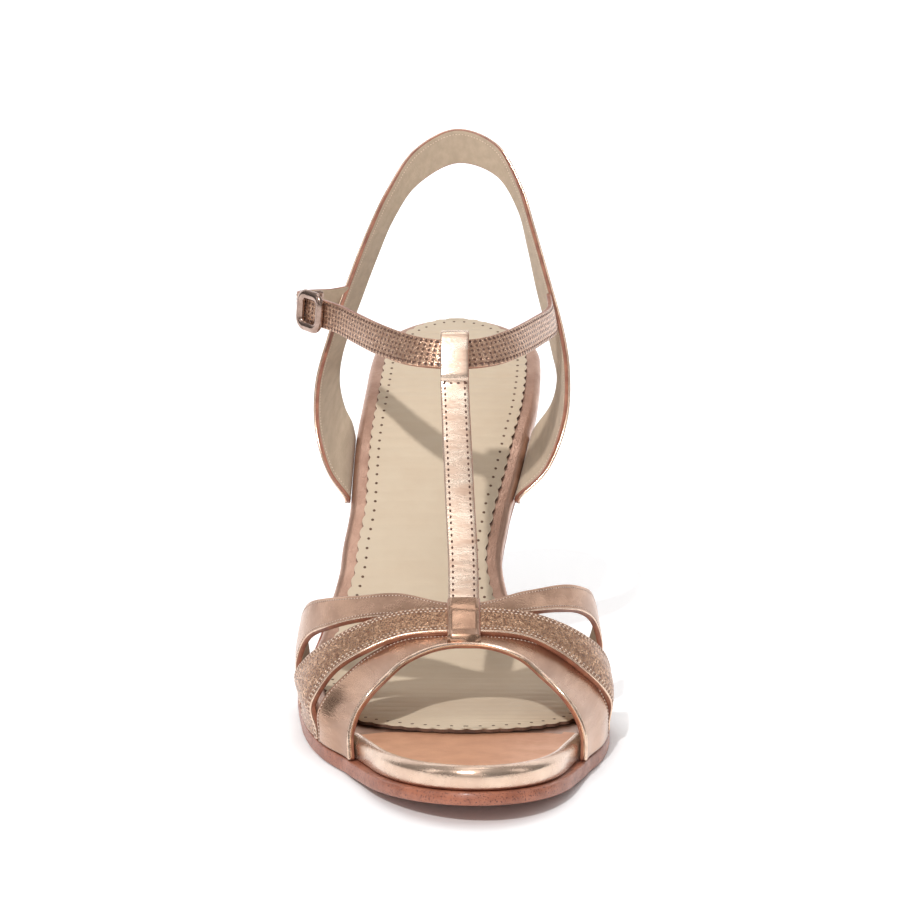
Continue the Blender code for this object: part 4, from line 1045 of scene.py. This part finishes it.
# %% Pinholes along the sock's edge
HOLE_INSIDE = 2.7 * MM         # pinholes from the sock's plan line
holes = []
for x, y in flat + inward_of(flat) * HOLE_INSIDE:
    foot, above = (on_bed(y / SOLE_LENGTH, x, lift) for lift in (0.0, 1.0))
    holes.append((on_bed(y / SOLE_LENGTH, x, GAP + SOCK_WALL), (above - foot).normalized()))
set_rows("sock_pinholes", HOLE_ROW, [tuple(zip(*holes))], (3.3, 0.85, 0.85, 0.06), "pinhole shadow")

# %% [markdown]
# ## Stitches
# Every strap is sewn along its edges. One tree lays a short thread at each pitch, turned to follow the strap
# and to lie on its face, which a texture could not do without showing flat at a grazing look.

# %% Stitches
GROOVE = 0.17 * MM             # radius of the grooves under the stitches
SEWN = (0.02, 0.71)            # part of the T strap that is sewn, and where its cross row lies
CROSS_ROW = 0.705


def sewn(name, rows):
    """Fine dark tubes where the threads lie: painted shade of their grooves."""
    for i, (points, normals) in enumerate(rows):
        tube(f"{name}_groove_{i}", points, GROOVE, normals, "seam groove painted shade", flat=0.5, segments=6)


light_rows = [edge_row(vamp["rear"], 0, 1.35), edge_row(vamp["rear"], -1, 1.35), edge_row(vamp["front"], 0, 1.2)]
sewn("vamp", light_rows)
set_rows("vamp_stitches", THREAD_ROW, light_rows, (0.95, 0.62, 0.40, 0.26), "light thread")
beads = [edge_row(vamp["middle"], k, inside) for k, inside in ((0, 1.0), (0, 1.9), (-1, 1.2), (-1, 2.1))]
sewn("middle_strap", beads)
set_rows("middle_strap_beads", THREAD_ROW, beads, (1.15, 0.75, 0.48, 0.36), "light thread")
# The flat dark row in the front strap's groove is dark thread and painted shade of the groove.
set_rows("front_strap_groove", THREAD_ROW, [edge_row(vamp["front"], -1, 1.25)], (0.75, 0.6, 0.28, 0.12),
         "dark thread")
tee_rows = [edge_row(tee, k, 1.2, *SEWN) for k in (0, -1)]
grid, _, normal, half = tee
at = int(CROSS_ROW * grid.shape[1])
tee_rows.append((grid[1:-1, at] + normal[1:-1, at] * (half + 0.1 * MM), normal[1:-1, at]))
set_rows("tee_stitches", THREAD_ROW, tee_rows, (1.8, 1.1, 0.7, 0.28), "dark thread")
set_rows("ankle_strap_stitches", THREAD_ROW, [edge_row(ankle, k, 1.0) for k in (0, -1)],
         (1.75, 1.15, 0.6, 0.3), "dark thread")
grid, across, normal, half = back
inside_row = (grid[0] + across[0] * 1.6 * MM - normal[0] * (half + THREAD_LIFT), -normal[0])
set_rows("sling_stitches", THREAD_ROW, [inside_row], (1.0, 0.65, 0.3, 0.16), "light thread")

# %% [markdown]
# ## Heel
# A covered heel narrows from the seat to a small rubber top piece. It hides behind the forefoot in the
# picture, so it is finished plainly, as a smooth skin over rings.

# %% Heel and top piece
BREAST_STEPS = 24
TIP_BEVEL = OUTSOLE_BEVEL / 2


def heel_rings():
    """Plan ring of the heel seat as points under the insole, and the ring of its tip at height 0."""
    seat_from = 1 - HEEL_LENGTH / SOLE_LENGTH
    points, _, _ = outline(0.0, 1.0, steps=140)
    seat = [p for p in points if p.y / SOLE_LENGTH > seat_from + HEEL_CORNER / 3]
    middle, half = insole_middle(seat_from), insole_half(seat_from)
    left, right = (Vector((middle + side * half, seat_from * SOLE_LENGTH)) for side in (-1, 1))
    seat = [right] + seat + [left] + [left.lerp(right, i / BREAST_STEPS) for i in range(1, BREAST_STEPS)]
    seat = [p + (Vector((insole_middle(p.y / SOLE_LENGTH), p.y)) - p).normalized() * HEEL_TUCK for p in seat]
    top = [on_bed(p.y / SOLE_LENGTH, p.x, -INSOLE_WALL - GAP) for p in seat]
    centre = sum(top, Vector()) / len(top)
    tip_middle = Vector((insole_middle(1.0), BED_Y[-1] - HEEL_TIP_SET, 0))
    tip = [tip_middle + Vector((p.x - centre.x, p.y - centre.y, 0)).normalized() * HEEL_TIP_RADIUS for p in top]
    return top, tip


def place_rings(name, rings, look, part):
    made = ring_mesh(name, rings, [0] * len(rings[0]), [look])
    made.data.set_sharp_from_angle(angle=SHARP)
    place_piece(made, look, [part])


top, tip = heel_rings()
low = TOP_PIECE_WALL + GAP
rings = []
for level in np.linspace(0, 1, 40):
    taper = look_up(HEEL_TAPER, level, 1)
    plan = [p.lerp(Vector((q.x, q.y, p.z)), taper) for p, q in zip(top, tip)]
    rings.append([(v.x, v.y, p.z + (low - p.z) * level) for v, p in zip(plan, top)])
place_rings("covered_heel", rings, "insole foil leather", "heel")
centre = sum(tip, Vector()) / len(tip)
rings = [[(p.x, p.y, TOP_PIECE_WALL) for p in tip]]
for turn in np.linspace(0, math.pi / 2, 4):
    inward, height = TIP_BEVEL * (1 - math.cos(turn)), TIP_BEVEL * (1 - math.sin(turn))
    rings.append([(*(p + (centre - p).normalized() * inward).to_2d(), height) for p in tip])
place_rings("heel_top_piece", rings, "heel tip rubber", "top_piece")

# %% [markdown]
# ## Stage, light and camera
# The shoe stands on a seamless white paper sweep. A sharp light from the front left throws the strap shadows
# onto the sock, and wide soft lights give the foil something bright to reflect.

# %% Paper sweep
CONTACT = 0.010                # the paper darkens this near to things, in metres
profile = [(-1.6, 0.0), (0.9, 0.0)]
profile += [(0.9 + 0.6 * math.sin(a), 0.6 - 0.6 * math.cos(a)) for a in np.linspace(0.1, math.pi / 2, 12)]
profile += [(1.5, 2.2)]
mesh = bpy.data.meshes.new("paper_sweep")
mesh.from_pydata([(x, y, z) for y, z in profile for x in (-2.4, 2.4)], [],
                 [(2 * i, 2 * i + 1, 2 * i + 3, 2 * i + 2) for i in range(len(profile) - 1)])
mesh.shade_smooth()
paper = bpy.data.materials.new("white_paper")
paper.use_nodes = True
tree = paper.node_tree
shader = tree.nodes["Principled BSDF"]
for key, value in (("Base Color", (0.86, 0.86, 0.865, 1)), ("Roughness", 0.9), ("Specular IOR Level", 0.1),
                   ("Emission Strength", 0.42)):
    shader.inputs[key].default_value = value
# The paper glows less near the shoe: a painted contact shadow reaching CONTACT metres.
painted_contact_shade = node(tree, "ShaderNodeAmbientOcclusion", {"Distance": CONTACT})
tree.links.new(maths(tree, "POWER", painted_contact_shade.outputs["AO"], 1.5), shader.inputs["Emission Color"])
mesh.materials.append(paper)
add("paper_sweep", mesh)
print("paper sweep", len(mesh.polygons), "faces")


# %% Lights
def aim(made, way):
    """Turn a light so that it shines along a direction."""
    made.rotation_euler = Vector(way).to_track_quat("-Z", "Y").to_euler()


key = bpy.data.lights.new("key_light", "SUN")
key.energy = 1.65
key.angle = math.radians(2.5)
aim(add("key_light", key), (0.258, 0.668, -0.698))
# place, target, size and power
SOFT_LIGHTS = {
    "top": ((-0.05, 0.12, 1.2), (0, 0.03, 0.05), (0.6, 0.42), 1.3),
    "instep": ((-0.05, -0.50, 1.08), (0, 0.03, 0.05), (0.6, 0.36), 0.75),
    "front": ((-0.15, -1.3, 0.42), (0, 0.0, 0.03), (0.9, 0.22), 0.9),
    "left": ((-1.1, -0.4, 0.55), (0, 0.03, 0.05), (0.22, 0.7), 0.8),
    "right": ((1.1, -0.2, 0.6), (0, 0.03, 0.05), (0.22, 0.7), 0.8),
}
for name, (where, target, size, power) in SOFT_LIGHTS.items():
    light = bpy.data.lights.new(f"{name}_soft_light", "AREA")
    light.shape = "RECTANGLE"
    light.size, light.size_y = size
    light.energy = power
    made = add(light.name, light)
    made.location = where
    aim(made, Vector(target) - Vector(where))
print(len(SOFT_LIGHTS) + 1, "lights")

# %% Studio round the shoe
# Dim below and bright above for the reflections, but plain white where the camera sees it.
world = bpy.data.worlds.new("studio")
bpy.context.scene.world = world
world.use_nodes = True
sky = world.node_tree
rise = node(sky, "ShaderNodeSeparateXYZ", {0: node(sky, "ShaderNodeTexCoord").outputs["Generated"]})
dim = node(sky, "ShaderNodeMapRange", {"Value": rise.outputs[2], "From Min": 0.05, "From Max": 0.9,
                                       "To Min": 0.07, "To Max": 0.40})
seen = node(sky, "ShaderNodeLightPath")
shown = node(sky, "ShaderNodeMix", {0: seen.outputs["Is Camera Ray"], 2: dim.outputs[0], 3: 1.0})
sky.links.new(shown.outputs[0], sky.nodes["Background"].inputs["Strength"])
sky.nodes["Background"].inputs["Color"].default_value = (1.0, 0.99, 0.98, 1)
bpy.context.scene.view_settings.view_transform = "Standard"
print("world", world.name)

# %% Camera
camera = bpy.data.cameras.new("camera")
camera.lens = 82.32
camera.sensor_width = 36.0
camera.clip_start = 0.01
camera_object = add("camera", camera)
camera_object.location = (-0.001, -0.520, 0.158)
camera_object.rotation_euler = (math.radians(81.0), 0, 0)
bpy.context.scene.camera = camera_object
print("camera", tuple(camera_object.location))
